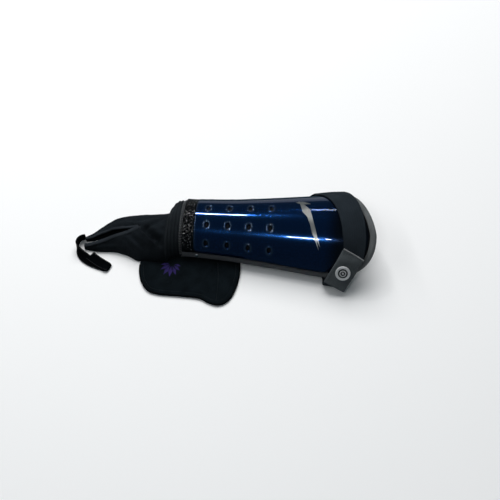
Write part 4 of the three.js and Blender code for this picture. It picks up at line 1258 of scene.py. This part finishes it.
class SleeveOperator(bpy.types.Operator):
    """Makes the knit ankle sleeve, its open mouth and heel, and their hems"""
    bl_idname = "shin_guard.sleeve"
    bl_label = "Ankle sleeve"

    def execute(self, context):
        colours = context.scene.shin_guard_colours
        rings = [sleeve_ring(station / SLEEVE_STATIONS) for station in range(SLEEVE_STATIONS + 1)]
        outer = np.array([ring[0] for ring in rings])
        inner = np.array([ring[1] for ring in rings])
        first = SLEEVE_SIDE_ROWS + SLEEVE_UNDER_ROWS
        heel_rows = range(first, first + SLEEVE_MOUTH_ROWS)
        heel = int(HEEL_FROM * SLEEVE_STATIONS)
        faces = grid_faces(SLEEVE_STATIONS, outer.shape[1] - 1, lambda i, j: i < heel or j not in heel_rows)
        around = run_along(outer[40])
        uv = [(share * SLEEVE_LENGTH, a) for share in np.linspace(0, 1, SLEEVE_STATIONS + 1) for a in around]
        mesh = walled("knit_sleeve", outer.reshape(-1, 3), inner.reshape(-1, 3), faces, uv, math.radians(60))
        material = cloth_material("Stretch knit", colours.sleeve, (1.3, 1.5, 0.4), contrast=0.22)
        sleeve = link("knit_sleeve", mesh, material)
        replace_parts(sleeve, "ankle_sleeve")
        hems = self.hems(colours)
        return {"FINISHED"}

    def hems(self, colours):
        """Flat sewn hems along both edges of the mouth."""
        # The hems are a lighter grey than the sleeve: partly their own colour, partly a painted highlight
        # along the mouth's edges
        material = cloth_material("Hem", colours.hem, (0.6, 1.4, 0.6), relief=0.1, contrast=0.3, fuzz=0.4)
        pieces = []
        for side_name, edge, side, wide in (("near", mouth_near, -1, 2.5), ("far", mouth_far, 1, 1.9)):
            along = np.linspace(0.325, 1.0, 110)
            across = edge(np.maximum(along, 0.34)) + side * 0.045
            path = []
            for a, c in zip(along, across):
                y, z = sleeve_height(a, c)
                path.append((SLEEVE_START - a * SLEEVE_LENGTH, y, max(float(z), CLOTH + 0.5) - 0.35))
            name = "sleeve_hem_" + side_name
            mesh = tube(name, np.array(path), oval(wide, 0.85, 16))
            pieces.append(link(name, mesh, material))
        return pieces


def oval(half_width, half_height, sides):
    """Section of an oval cord."""
    turns = np.linspace(0, 2 * PI, sides, endpoint=False)
    return [(half_width * math.cos(t), half_height * math.sin(t)) for t in turns]


def tube(name, path, section, up=(0.0, 0.0, 1.0)):
    """A closed tube along a path. The section's rows run across it and up."""
    along = unit(shifted(path, 1) - shifted(path, -1))
    across = unit(np.cross(along, np.array(up)))
    lift = unit(np.cross(across, along))
    rings = np.stack([path + across * a + lift * b for a, b in section], axis=1)
    return sweep(name, rings)


# Stirrup


def rounded_band(width, thickness, across=14, corner=4):
    """Section of a flat band with rounded edges, as shares of the width and heights."""
    radius = thickness / 2
    half = 0.5 - radius / width
    turns = np.linspace(0, PI, corner + 2)
    top = [(s, radius) for s in np.linspace(half, -half, across + 1)]
    left = [(-half - radius / width * math.sin(a), radius * math.cos(a)) for a in turns[1:-1]]
    bottom = [(s, -radius) for s in np.linspace(-half, half, across + 1)]
    right = [(half + radius / width * math.sin(a), -radius * math.cos(a)) for a in turns[1:-1]]
    return np.array(top + left + bottom + right)


def spline(rows, steps):
    """A smooth path through rows of numbers."""
    rows = np.array(rows, float)
    ends = np.concatenate([[2 * rows[0] - rows[1]], rows, [2 * rows[-1] - rows[-2]]])
    out = []
    for i in range(len(rows) - 1):
        a, b, c, d = ends[i:i + 4]
        for t in np.linspace(0, 1, steps, endpoint=False):
            out.append(0.5 * (2 * b + (c - a) * t + (2 * a - 5 * b + 4 * c - d) * t * t
                              + (3 * b - a - 3 * c + d) * t ** 3))
    out.append(rows[-1])
    return np.array(out)


class StirrupOperator(bpy.types.Operator):
    """Makes the webbing from the sleeve's far tip, folded back at its end"""
    bl_idname = "shin_guard.stirrup"
    bl_label = "Stirrup"

    def execute(self, context):
        tip = SLEEVE_START - SLEEVE_LENGTH
        far_tip = sleeve_section(1.0)[1]
        start_y = (far_tip + SLEEVE_SHIFT + SLEEVE_HALF * mouth_far(1.0)) / 2
        start_x = tip - STIRRUP_ROUTE[0][0] * STIRRUP_LENGTH - GAP
        steps = 8
        route = spline(STIRRUP_ROUTE, steps)
        lean = route[:, 2] * PI / 2
        rise = WEBBING_WIDTH / 2 * np.sin(lean) + WEBBING_THICKNESS / 2 * np.cos(lean)
        height = STIRRUP_FLOOR + rise + route[:, 3] * (WEBBING_THICKNESS + GAP)
        x, y = start_x + route[:, 0] * STIRRUP_LENGTH, start_y - route[:, 1] * STIRRUP_REACH
        middles = np.stack([x, y, height], axis=1)
        flat = np.radians(route[:, 4] - 180)
        across = np.stack([np.cos(flat) * np.cos(lean), np.sin(flat) * np.cos(lean), np.sin(lean)], axis=1)
        heading = shifted(middles, 1) - shifted(middles, -1)
        normal = unit(np.cross(heading, across))
        section = rounded_band(WEBBING_WIDTH, WEBBING_THICKNESS)
        fold = np.array([row[3] for row in STIRRUP_ROUTE]).searchsorted(0.5) * steps
        run = run_along(middles)
        wide = WEBBING_WIDTH * (1 - 0.3 * np.exp(-np.abs(run - run[fold]) / 1.6))[:, None]
        rings = np.stack([middles + across * (s * wide) + normal * h for s, h in section], axis=1)
        colours = context.scene.shin_guard_colours
        material = cloth_material("Webbing", colours.webbing, (0.55, 0.55, 1.0), relief=0.3, contrast=0.6,
                                  roughness=0.8)
        webbing = link("webbing_stirrup", sweep("webbing_stirrup", rings), material)
        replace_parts(webbing, "stirrup")
        selvedge = [middles + across * (s * wide) + normal * side * (WEBBING_THICKNESS / 2)
                    for s in (-0.42, 0.42) for side in (-1, 1)]
        thread = plain_material("Selvedge thread", colours.thread, 0.6)
        stitch_rows("stirrup_selvedge", selvedge, thread, pitch=2.3, length=1.3, width=0.4)
        return {"FINISHED"}


# Ankle pad


def pad_edge():
    """The pad's outline in x and y: the shown edge, and the whole outline."""
    beside = SLEEVE_SHIFT - PAD_BESIDE * SLEEVE_HALF
    shown = spline([(PAD_START + a * PAD_LENGTH, mix(beside, -PAD_REACH, out)) for a, out in PAD_OUTLINE], 9)
    tuck = mix(beside, -PAD_REACH, PAD_TUCK)
    rest = [(shown[-1][0] - PAD_CORNER, tuck)]
    for share in np.linspace(0, 1, 9):
        rest.append((COLLAR_START - share * COLLAR_LENGTH, mix(tuck, beside, share ** COLLAR_SPREAD)))
    rest += [(PAD_START + PAD_ROUNDING, beside), tuple(shown[0])]
    joined = []
    for a, b in zip([tuple(shown[-1])] + rest[:-1], rest):
        steps = max(2, int(math.dist(a, b) / PAD_GRID))
        joined.extend(mix(np.array(a), np.array(b), t) for t in np.linspace(0, 1, steps, endpoint=False)[1:])
        joined.append(np.array(b))
    return shown, np.concatenate([shown, np.array(joined[:-1])])


# The purple print on the pad is a plain fan of lozenges: turn, distance out, half length, half width.
PAD_PRINT_CENTRE = (-27.5, -50.0)
PAD_PRINT = (
    (3.35, 8.5, 5.5, 2.0), (3.8, 9.5, 7.0, 2.3), (4.25, 11.0, 8.0, 2.6), (4.7, 11.5, 8.0, 2.6),
    (5.15, 11.0, 7.0, 2.3), (5.6, 9.5, 5.5, 2.0), (6.0, 8.5, 4.5, 1.6),
)


def pad_material(colours):
    made = cloth_material("Pad cloth", colours.pad, (1.1, 1.1, 0.5), relief=0.12, contrast=0.25, fuzz=0.8,
                          lint=0.69, broad=70.0)
    tree = made.node_tree
    shader = tree.nodes["Principled BSDF"]
    cloth = shader.inputs["Base Color"].links[0].from_socket
    x, y = PAD_PRINT_CENTRE
    mask = print_mask(tree, [(x + out * math.cos(turn), y + out * math.sin(turn), turn, length, width)
                             for turn, out, length, width in PAD_PRINT])
    worn = group_node(tree, mottle_group(), {"Broad": 300.0, "Fine": 900.0, "Lint": 0.8})
    faded = calc(tree, "MULTIPLY", mask, calc(tree, "MULTIPLY_ADD", worn["Tone"], 0.9, 0.5), clamp=True)
    tree.links.new(blend(tree, faded, cloth, rgba(colours.pad_print)), shader.inputs["Base Color"])
    return made


def pad_heights(spots, from_shown, from_edge):
    """Heights of the pad's face and back, with its puff, its hem and its seam."""
    rounding = np.sqrt(1 - (1 - np.clip(from_shown / 3.2, 0, 1)) ** 2)
    rounding = np.minimum(rounding, 0.75 + 0.25 * np.clip(from_edge / 0.9, 0, 1))
    swell = np.array([noise.noise(Vector((x * 0.045, y * 0.06, 3.0))) for x, y in spots])
    dents = np.array([noise.noise(Vector((x * 0.16, y * 0.2, 9.0))) for x, y in spots])
    puff = smoothstep(from_shown, 2, 12) * (0.4 + 0.6 * smoothstep(-spots[:, 1], 47, 58))
    hem = 0.55 * np.exp(-(((from_shown - PAD_HEM) / 0.9) ** 2))
    seam = 0.6 * np.exp(-((nearest(spots, pad_seam()) / 1.1) ** 2)) * smoothstep(from_shown, 1, 4)
    top = PAD_THICKNESS * (0.3 + 0.7 * rounding) + (1.1 * swell + 0.5 * dents) * puff - 0.1 - hem - seam
    bottom = 0.12 + 0.9 * (1 - np.sqrt(1 - (1 - np.clip(from_edge / 1.6, 0, 1)) ** 2))
    return top, bottom


class PadOperator(bpy.types.Operator):
    """Makes the padded ankle flap with its bound edge and seam"""
    bl_idname = "shin_guard.pad"
    bl_label = "Ankle pad"

    def execute(self, context):
        colours = context.scene.shin_guard_colours
        shown, outline = pad_edge()
        inward = inward_normals(outline)
        spots = []
        edges = []
        for inset in (0.0, 0.35, 0.9, 1.8):
            start = len(spots)
            spots.extend((outline + inward * inset).tolist())
            edges.extend((start + k, start + (k + 1) % len(outline)) for k in range(len(outline)))
        xs, ys = np.meshgrid(np.arange(PAD_START, PAD_START + PAD_LENGTH, PAD_GRID),
                             np.arange(-1.1 * PAD_REACH, -PAD_TUCK * PAD_REACH, PAD_GRID))
        offsets = (np.arange(xs.size) // xs.shape[1] % 2) * PAD_GRID / 2
        grid = np.stack([xs.ravel() + offsets, ys.ravel()], axis=1)
        spots.extend(grid[inside_outline(grid, outline) & (nearest(grid, outline) > 2.6)].tolist())
        found, _, faces, _, _, _ = delaunay_2d_cdt([Vector(s) for s in spots], edges, [], 0, 1e-5)
        found = np.array([tuple(v) for v in found])
        middles = np.array([found[list(f)].mean(axis=0) for f in faces])
        faces = [list(f) for f, good in zip(faces, inside_outline(middles, outline)) if good]
        top, bottom = pad_heights(found, nearest(found, shown), nearest(found, outline))
        outer = np.column_stack([found, top])
        inner = np.column_stack([found, bottom])
        mesh = walled("pad_flap", outer, inner, faces, found, math.radians(60))
        pad = link("pad_flap", mesh, pad_material(colours))
        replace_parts(pad, "ankle_pad")
        binding = cloth_material("Pad binding", colours.pad_edge, (0.8, 0.8, 1.0), relief=0.16, contrast=0.4)
        edge = shown - unit_normals(shown) * 0.9
        edge = np.column_stack([edge[2:], np.full(len(edge) - 2, PAD_THICKNESS * 0.5)])
        link("pad_edge", tube("pad_edge", edge, oval(1.35, 1.75, 16)), binding)
        thread = plain_material("Black thread", colours.dark_thread, 0.6)
        hem = (shown - unit_normals(shown) * PAD_HEM)[4:-3]
        seam = pad_seam()
        rows = [np.column_stack([hem, np.full(len(hem), PAD_THICKNESS - 0.35)]),
                np.column_stack([seam, np.full(len(seam), PAD_THICKNESS - 0.3)])]
        stitch_rows("pad_stitches", rows, thread, pitch=3.0, length=2.0, width=0.55)
        return {"FINISHED"}


def unit_normals(path):
    """Outward normals of the pad's shown edge."""
    along = unit(shifted(path, 1) - shifted(path, -1))
    return np.stack([along[:, 1], -along[:, 0]], axis=1)


def pad_seam():
    """The sewn line across the pad, near its knee end."""
    share = np.linspace(0, 1, 40)
    return np.stack([mix(31.0, 34.5, share) + 1.2 * np.sin(share * PI), mix(-46.0, -95.5, share)], axis=1)


# Calf strap and tab


def path_slope(x_at, angle, lift):
    step = 0.01
    radius = shell_radius(x_at(angle)) + lift(x_at(angle), angle)
    return (x_at(angle + step) - x_at(angle - step)) / (2 * step * radius)


def arch_frame(x_at, angle, lift, slope):
    """A frame that lies on the arch all across its width."""
    radius = shell_radius(x_at(angle)) + lift(x_at(angle), angle)

    def place(share, height):
        beside = share * STRAP_WIDTH / math.hypot(1, slope)
        x, around = x_at(angle) + beside, angle - beside * slope / radius
        return on_arch(x, around, lift(x, around) + height)

    return place


def flat_frame(middle, across, normal):
    def place(share, height):
        return middle + np.multiply.outer(share * STRAP_WIDTH, across) + np.multiply.outer(height, normal)
    return place


def between(start, end, steps):
    def at(t):
        return lambda share, height: mix(start(share, height), end(share, height), t)
    return [at((i + 1) / steps) for i in range(steps)]


def strap_x(angle):
    way = (PI / 2) * (angle - STRAP_LEVEL_ANGLE) / (STRAP_FAR_ANGLE - STRAP_LEVEL_ANGLE)
    return STRAP_NEAR_X - STRAP_DRIFT * (1 - np.cos(way))


def rim_rise(x, angle):
    past_end = smoothstep(x - knee_end(np.clip(angle / SPREAD, -1, 1)), -RIM_RISE_RUN, 0)
    past_side = smoothstep(angle, SPREAD - RIM_RISE_SPREAD, SPREAD + RIM_RISE_SPREAD)
    return RIM_RISE * np.maximum(past_end, past_side)


def strap_lift(x, angle):
    return GAP + STRAP_THICKNESS / 2 + rim_rise(x, angle)


def tab_lift(x, angle):
    leaving = RIM_RISE * smoothstep(STRAP_SEAM_ANGLE - angle, 0, TAB_RISE_SPREAD)
    return GAP + TAB_THICKNESS / 2 + np.maximum(rim_rise(x, angle), leaving)


def tab_line():
    radius = shell_radius(STRAP_NEAR_X) + GAP + TAB_THICKNESS / 2 + RIM_RISE
    centre = arch_centre(STRAP_NEAR_X)
    reach = math.hypot(TAB_END[1], TAB_END[2] - centre)
    leave = math.acos(radius / reach) - math.atan2(-TAB_END[1], TAB_END[2] - centre) - TAB_HOLD
    start = STRAP_SEAM_ANGLE - 2 * GAP / radius
    drift = (STRAP_NEAR_X - TAB_END[0]) / ((start - leave) * radius + math.sqrt(reach ** 2 - radius ** 2))

    def x_at(angle):
        return STRAP_NEAR_X - drift * (start - angle) * radius

    leaving = on_arch(x_at(leave), leave, tab_lift(x_at(leave), leave))
    heading = unit(TAB_END - leaving)
    normal = unit(np.cross((-1, 0, 0), heading))
    return start, leave, x_at, heading, normal


TAB_START, TAB_LEAVE, tab_x, TAB_HEADING, TAB_NORMAL = tab_line()
TAB_ACROSS = unit(np.cross(TAB_NORMAL, TAB_HEADING))
TAB_SLOPE = path_slope(tab_x, TAB_START, tab_lift)


def tab_end(inset):
    return flat_frame(TAB_END - TAB_NORMAL * inset, TAB_ACROSS, TAB_NORMAL)


def tab_frames():
    round_it = [arch_frame(tab_x, mix(TAB_START, TAB_LEAVE, t), tab_lift, TAB_SLOPE)
                for t in np.linspace(0, 1, 25)]
    return round_it + between(round_it[-1], tab_end(0), 24)


def strap_slope(angle):
    own = path_slope(strap_x, angle, strap_lift)
    left = smoothstep(angle, STRAP_SEAM_ANGLE, STRAP_SEAM_ANGLE + STRAP_SEAM_BLEND)
    squared = smoothstep(angle, STRAP_FAR_ANGLE - STRAP_FAR_BLEND, STRAP_FAR_ANGLE)
    return mix(mix(TAB_SLOPE, own, left), 0, squared)


def strap_frames():
    """From the seam over the guard, round its far rim, back under it and up inside the tab."""
    over = [arch_frame(strap_x, angle, strap_lift, strap_slope(angle))
            for angle in np.linspace(STRAP_SEAM_ANGLE, STRAP_FAR_ANGLE, 110)]
    last = over[-1](0.0, 0.0)
    turn_height = STRAP_THICKNESS / 2 + STRAP_TURN
    along = np.array([1.0, 0.0, 0.0])
    far_turn = []
    for angle in np.linspace(STRAP_FAR_ANGLE, PI, 17)[1:]:
        middle = np.array([last[0], last[1] + STRAP_TURN * (math.sin(angle) - 1),
                           turn_height + STRAP_TURN * math.cos(angle)])
        far_turn.append(flat_frame(middle, along, np.array([0.0, math.sin(angle), math.cos(angle)])))
    inset = (TAB_THICKNESS + STRAP_THICKNESS) / 2 + GAP
    floor_middle = np.array([TAB_END[0], TAB_END[1] + STRAP_NEAR_TURN, STRAP_THICKNESS / 2])
    floor = flat_frame(floor_middle, along, np.array([0.0, 0.0, -1.0]))
    anchor = [inside_tab(inset, STRAP_ANCHOR_SETBACK),
              inside_tab(inset, STRAP_ANCHOR_SETBACK + STRAP_ANCHOR_LENGTH)]
    near_turn = [near_bend(floor, anchor[0], t) for t in np.linspace(0, 1, 17)[1:-1]]
    return over + far_turn + between(far_turn[-1], floor, 40) + near_turn + anchor[:1] + between(*anchor, 4)


def inside_tab(inset, setback):
    tip = tab_end(inset)
    return lambda share, height: tip(share, height) - TAB_HEADING * setback


def near_bend(floor, anchor, t):
    """A frame of the bend towards the tip of the tab, then up and in."""
    face = unit(mix(np.array([0.0, 0.0, -1.0]), TAB_NORMAL, t))

    def place(share, height):
        start, end = floor(share, height * 0), anchor(share, height * 0)
        corner = start.copy()
        corner[..., 1] = TAB_END[1]
        line = mix(mix(start, corner, t), mix(corner, end, t), t)
        return line + np.multiply.outer(height, face)

    return place


def band(name, frames, thickness):
    """A band as wide as the strap, through frames along its way."""
    section = rounded_band(STRAP_WIDTH, thickness, 18)
    return sweep(name, [frame_at(section[:, 0], section[:, 1]) for frame_at in frames])


class StrapOperator(bpy.types.Operator):
    """Makes the elastic calf strap, its tab, their seam and the stitching"""
    bl_idname = "shin_guard.strap"
    bl_label = "Calf strap and tab"

    def execute(self, context):
        colours = context.scene.shin_guard_colours
        elastic = cloth_material("Elastic", colours.elastic, (0.9, 0.35, 0.0), relief=0.16, contrast=0.22,
                                 fuzz=0.35, roughness=0.7)
        mesh = band("elastic_strap", strap_frames(), STRAP_THICKNESS)
        strap = link("elastic_strap", mesh, elastic)
        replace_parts(strap, "calf_strap")
        cloth = cloth_material("Tab cloth", colours.tab, (1.2, 1.2, 0.3), relief=0.14, contrast=0.25,
                               roughness=0.9)
        frames = tab_frames()
        tab = link("tab_cloth", band("tab_cloth", frames, TAB_THICKNESS), cloth)
        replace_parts(tab, "strap_tab")
        tape = cloth_material("Seam tape", colours.seam, (1.0, 1.0, 1.0), relief=0.08, contrast=0.25)
        top = TAB_THICKNESS / 2
        seam = frames[0](np.linspace(-0.49, 0.49, 40), np.full(40, top))
        mesh = tube("seam_tape", seam, oval(0.9, 0.45, 12), up=(0.0, -0.6, 0.8))
        link("seam_tape", mesh, tape)
        thread = plain_material("Tab thread", colours.thread, 0.7)
        inset = 0.5 - 2.2 / STRAP_WIDTH
        height = top + 0.02
        rows = [np.array([f(share, height) for f in frames[2:-2]]) for share in (-inset, inset)]
        rows += [np.array([f(share, height) for share in np.linspace(-inset, inset, 30)])
                 for f in (frames[-3], frames[3])]
        stitch_rows("tab_stitches", rows, thread, pitch=2.8, length=1.9, width=0.45)
        return {"FINISHED"}


class BadgeOperator(bpy.types.Operator):
    """Makes the round badge on the tab, with a plain inner ring and a button"""
    bl_idname = "shin_guard.badge"
    bl_label = "Badge"

    def execute(self, context):
        colours = context.scene.shin_guard_colours
        middle = TAB_END - TAB_HEADING * BADGE_FROM_END + TAB_NORMAL * (TAB_THICKNESS / 2 + GAP)
        dish = BADGE_THICKNESS - BADGE_DISH
        turns = np.linspace(0, PI / 2, 6)
        ring = [(0, 0), (BADGE_RADIUS - 0.3, 0), (BADGE_RADIUS, 0.3)]
        ring += [(BADGE_RADIUS - 0.7 + 0.7 * math.cos(a), BADGE_THICKNESS - 0.7 + 0.7 * math.sin(a))
                 for a in turns]
        ring += [(BADGE_INNER_RADIUS + 0.4 - 0.4 * math.sin(a), BADGE_THICKNESS - 0.4 + 0.4 * math.cos(a))
                 for a in turns]
        ring += [(BADGE_INNER_RADIUS, dish), (0, dish)]
        silver = plain_material("Silver plastic", colours.badge, 0.35, metallic=0.1, coat=0.3)
        mesh = lathe("badge_ring", ring, middle, TAB_NORMAL, 72)
        badge = link("badge_ring", mesh, silver)
        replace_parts(badge, "badge")
        black = plain_material("Badge black", (0.004, 0.004, 0.005), 0.4, coat=0.2)
        disc = [(0, dish), (BADGE_INNER_RADIUS - 0.35, dish), (BADGE_INNER_RADIUS - 0.35, dish + 0.12),
                (BADGE_INNER_RADIUS - 0.9, dish + 0.22), (0, dish + 0.22)]
        link("badge_disc", lathe("badge_disc", disc, middle, TAB_NORMAL, 48), black)
        face = middle + TAB_NORMAL * (dish + 0.2)
        button = [(0, 0), (1.35, 0), (1.15, 0.25), (0.6, 0.36), (0, 0.4)]
        hoop = [(3.1, 0), (3.1, 0.2), (3.45, 0.36), (3.8, 0.36), (4.15, 0.2), (4.15, 0), (3.1, 0)]
        meshes = [lathe("badge_button", button, face, TAB_NORMAL, 24),
                  lathe("badge_hoop", hoop, face, TAB_NORMAL, 48)]
        link("badge_dots", join_meshes("badge_dots", meshes), silver)
        return {"FINISHED"}


def join_meshes(name, meshes):
    """One mesh in place of several."""
    points = []
    faces = []
    for mesh in meshes:
        start = len(points)
        points.extend(tuple(v.co) for v in mesh.vertices)
        faces.extend([start + c for c in face.vertices] for face in mesh.polygons)
        bpy.data.meshes.remove(mesh)
    joined = bpy.data.meshes.new(name)
    joined.from_pydata(points, [], faces)
    joined.polygons.foreach_set("use_smooth", [True] * len(faces))
    return joined


# Stage

FLOOR_HALF = 4.0
SKY = (0.5, 0.82, 1.0, 1.0)
SKY_STRENGTH = 0.055
# Name, place, aim, width and length, watts, and whether the light shows in gloss
LIGHTS = (
    ("overhead", (60, 2600, 2900), (80, -20, 0), (3500, 2500), 165.0, False),
    ("far_strip", (-212, 645, 900), (40, 0, 50), (100, 22), 1.0, True),
    ("near_strip", (-43, -425, 900), (150, 0, 50), (95, 20), 0.6, True),
    ("near_glint", (42, -398, 900), (180, 0, 50), (16, 16), 0.09, True),
    ("rim_glow", (60, 520, -6), (60, 520, 100), (2400, 800), 1.3, True),
    ("left_bar", (-720, 250, 900), (60, 0, 30), (60, 1500), 3.0, True),
    ("far_line", (10, 1275, 900), (130, 0, 50), (170, 14), 0.35, True),
)
PICTURE_SIZE = 500.0
CAMERA_ELEVATION = math.radians(60.755)
CAMERA_AZIMUTH = math.radians(4.04)
CAMERA_AIM = (110.0, 0.0, 17.0)
CAMERA_DISTANCE = 1.0
# Focal length, and where the camera's axis meets the picture, in pixels
CAMERA_FOCAL = 782.5
CAMERA_CENTRE = (282.556, 230.245)
SENSOR_WIDTH = 36.0


def place_of(spot):
    """A spot in the guard's millimetres as a place in the frame."""
    return ORIGIN + np.array(spot, float) * MM


def area_light(name, place, aim, size, power, shown):
    """A rectangular light at a place in the guard's millimetres."""
    light = bpy.data.lights.new(name, "AREA")
    light.shape = "RECTANGLE"
    light.size, light.size_y = size[0] * MM, size[1] * MM
    light.energy = power
    lamp = bpy.data.objects.new(name, light)
    place = Vector(place_of(place))
    back = (place - Vector(place_of(aim))).normalized()
    side = Vector((1, 0, 0))
    side = (side - back * side.dot(back)).normalized()
    turn = Matrix((side, back.cross(side), back)).transposed()
    lamp.matrix_world = Matrix.Translation(place) @ turn.to_4x4()
    lamp.visible_glossy = shown
    bpy.context.scene.collection.objects.link(lamp)


class StageOperator(bpy.types.Operator):
    """Sets the floor, the lights and the camera"""
    bl_idname = "shin_guard.stage"
    bl_label = "Stage"

    def execute(self, context):
        scene = context.scene
        self.floor(scene)
        world = bpy.data.worlds.new("Studio")
        world.use_nodes = True
        sky = world.node_tree.nodes["Background"]
        sky.inputs["Color"].default_value = SKY
        sky.inputs["Strength"].default_value = SKY_STRENGTH
        scene.world = world
        for row in LIGHTS:
            area_light(*row)
        self.camera(scene)
        scene.view_settings.view_transform = "Standard"
        return {"FINISHED"}

    def floor(self, scene):
        half = FLOOR_HALF
        mesh = bpy.data.meshes.new("floor")
        corners = [(-half, -half, 0), (half, -half, 0), (half, half, 0), (-half, half, 0)]
        mesh.from_pydata(corners, [], [(0, 1, 2, 3)])
        mesh.materials.append(plain_material("White floor", (0.96, 0.96, 0.96), 0.95, specular=0.0))
        floor = bpy.data.objects.new("floor", mesh)
        scene.collection.objects.link(floor)
        floor.visible_glossy = False

    def camera(self, scene):
        level = math.cos(CAMERA_ELEVATION)
        back = Vector((math.sin(CAMERA_AZIMUTH) * level, -math.cos(CAMERA_AZIMUTH) * level,
                       math.sin(CAMERA_ELEVATION)))
        right = Vector((math.cos(CAMERA_AZIMUTH), math.sin(CAMERA_AZIMUTH), 0))
        data = bpy.data.cameras.new("camera")
        data.sensor_width = SENSOR_WIDTH
        data.lens = CAMERA_FOCAL / PICTURE_SIZE * SENSOR_WIDTH
        data.shift_x = -(CAMERA_CENTRE[0] - PICTURE_SIZE / 2) / PICTURE_SIZE
        data.shift_y = (CAMERA_CENTRE[1] - PICTURE_SIZE / 2) / PICTURE_SIZE
        data.clip_start = 0.02
        camera = bpy.data.objects.new("camera", data)
        turn = Matrix((right, back.cross(right), back)).transposed()
        place = Vector(place_of(CAMERA_AIM)) + back * CAMERA_DISTANCE
        camera.matrix_world = Matrix.Translation(place) @ turn.to_4x4()
        scene.collection.objects.link(camera)
        scene.camera = camera


# Add-on


def colour_property(name, description, default):
    return FloatVectorProperty(name=name, description=description, default=default, size=3, subtype="COLOR",
                               min=0.0, max=1.0)


def length_property(name, description, default, low, high):
    return FloatProperty(name=name, description=description, default=default * MM, min=low * MM,
                         max=high * MM, subtype="DISTANCE", unit="LENGTH", precision=4)


class GuardSizes(bpy.types.PropertyGroup):
    vent_dish: length_property("Vent dish", "How much wider a vent's dish is than its hole", 3.2, 0.5, 5.0)
    rib_height: length_property("Rib height", "Height of the collar's ribs", 1.5, 0.0, 2.0)
    channel_depth: length_property("Channel depth", "Depth of the lining's sewn channels", 1.2, 0.0, 3.0)


class GuardColours(bpy.types.PropertyGroup):
    shell: colour_property("Shell", "Metallic blue of the hard shell", (0.001, 0.031, 0.128))
    shell_print: colour_property("Shell print", "Silver of the print on the shell", (0.5, 0.5, 0.48))
    strip: colour_property("Ankle strip", "Black of the perforated strip", (0.001, 0.001, 0.0014))
    foam: colour_property("Foam", "Lining of the foam", (0.008, 0.0085, 0.01))
    binding: colour_property("Binding", "Tape round the foam's rim", (0.115, 0.122, 0.125))
    binding_side: colour_property("Binding sides", "Tape along the guard's sides", (0.07, 0.074, 0.08))
    # Light enough that the binding's stitch row also stands for a painted highlight line along the guard's
    # lower edge
    thread: colour_property("Thread", "Stitches on the binding and the tab", (0.09, 0.095, 0.1))
    dark_thread: colour_property("Dark thread", "Stitches on the pad", (0.009, 0.0105, 0.012))
    light_thread: colour_property("Light thread", "Stitches on the collar", (0.16, 0.165, 0.17))
    collar: colour_property("Collar", "Ribbed knit", (0.0145, 0.018, 0.021))
    sleeve: colour_property("Sleeve", "Stretch knit", (0.0082, 0.0108, 0.0135))
    # Lighter than the sleeve, partly as a painted highlight along the mouth's edges
    hem: colour_property("Hem", "Hems of the sleeve", (0.02, 0.024, 0.029))
    webbing: colour_property("Webbing", "Stirrup", (0.0009, 0.0013, 0.002))
    pad: colour_property("Pad", "Cloth of the ankle pad", (0.004, 0.0064, 0.0082))
    pad_edge: colour_property("Pad edge", "Binding of the ankle pad", (0.0022, 0.003, 0.0036))
    pad_print: colour_property("Pad print", "Purple print on the pad", (0.03, 0.021, 0.1))
    elastic: colour_property("Elastic", "Calf strap", (0.0142, 0.0188, 0.0238))
    tab: colour_property("Tab", "Cloth of the strap's tab", (0.074, 0.084, 0.09))
    seam: colour_property("Seam tape", "Tape over the tab's seam", (0.2, 0.205, 0.21))
    badge: colour_property("Badge", "Silver of the badge", (0.66, 0.67, 0.68))


OPERATORS = (ShellOperator, FlangeOperator, FoamOperator, BindingOperator, RivetOperator, CollarOperator,
             SleeveOperator, StirrupOperator, PadOperator, StrapOperator, BadgeOperator, StageOperator)


class GuardPanel(bpy.types.Panel):
    """Lists the guard's pieces, sizes and colours"""
    bl_idname = "SHINGUARD_PT_pieces"
    bl_label = "Shin Guard"
    bl_space_type = "VIEW_3D"
    bl_region_type = "UI"
    bl_category = "Shin Guard"

    def draw(self, context):
        for made in OPERATORS:
            self.layout.operator(made.bl_idname)
        for group in (context.scene.shin_guard_sizes, context.scene.shin_guard_colours):
            for name in group.bl_rna.properties.keys():
                if name not in {"rna_type", "name"}:
                    self.layout.prop(group, name)


CLASSES = (GuardSizes, GuardColours, *OPERATORS, GuardPanel)


def register():
    for made in CLASSES:
        bpy.utils.register_class(made)
    bpy.types.Scene.shin_guard_sizes = PointerProperty(type=GuardSizes)
    bpy.types.Scene.shin_guard_colours = PointerProperty(type=GuardColours)


def unregister():
    del bpy.types.Scene.shin_guard_colours
    del bpy.types.Scene.shin_guard_sizes
    for made in reversed(CLASSES):
        bpy.utils.unregister_class(made)


def main():
    register()
    for made in OPERATORS:
        group, name = made.bl_idname.split(".")
        getattr(getattr(bpy.ops, group), name)()


if __name__ == "__main__":
    main()
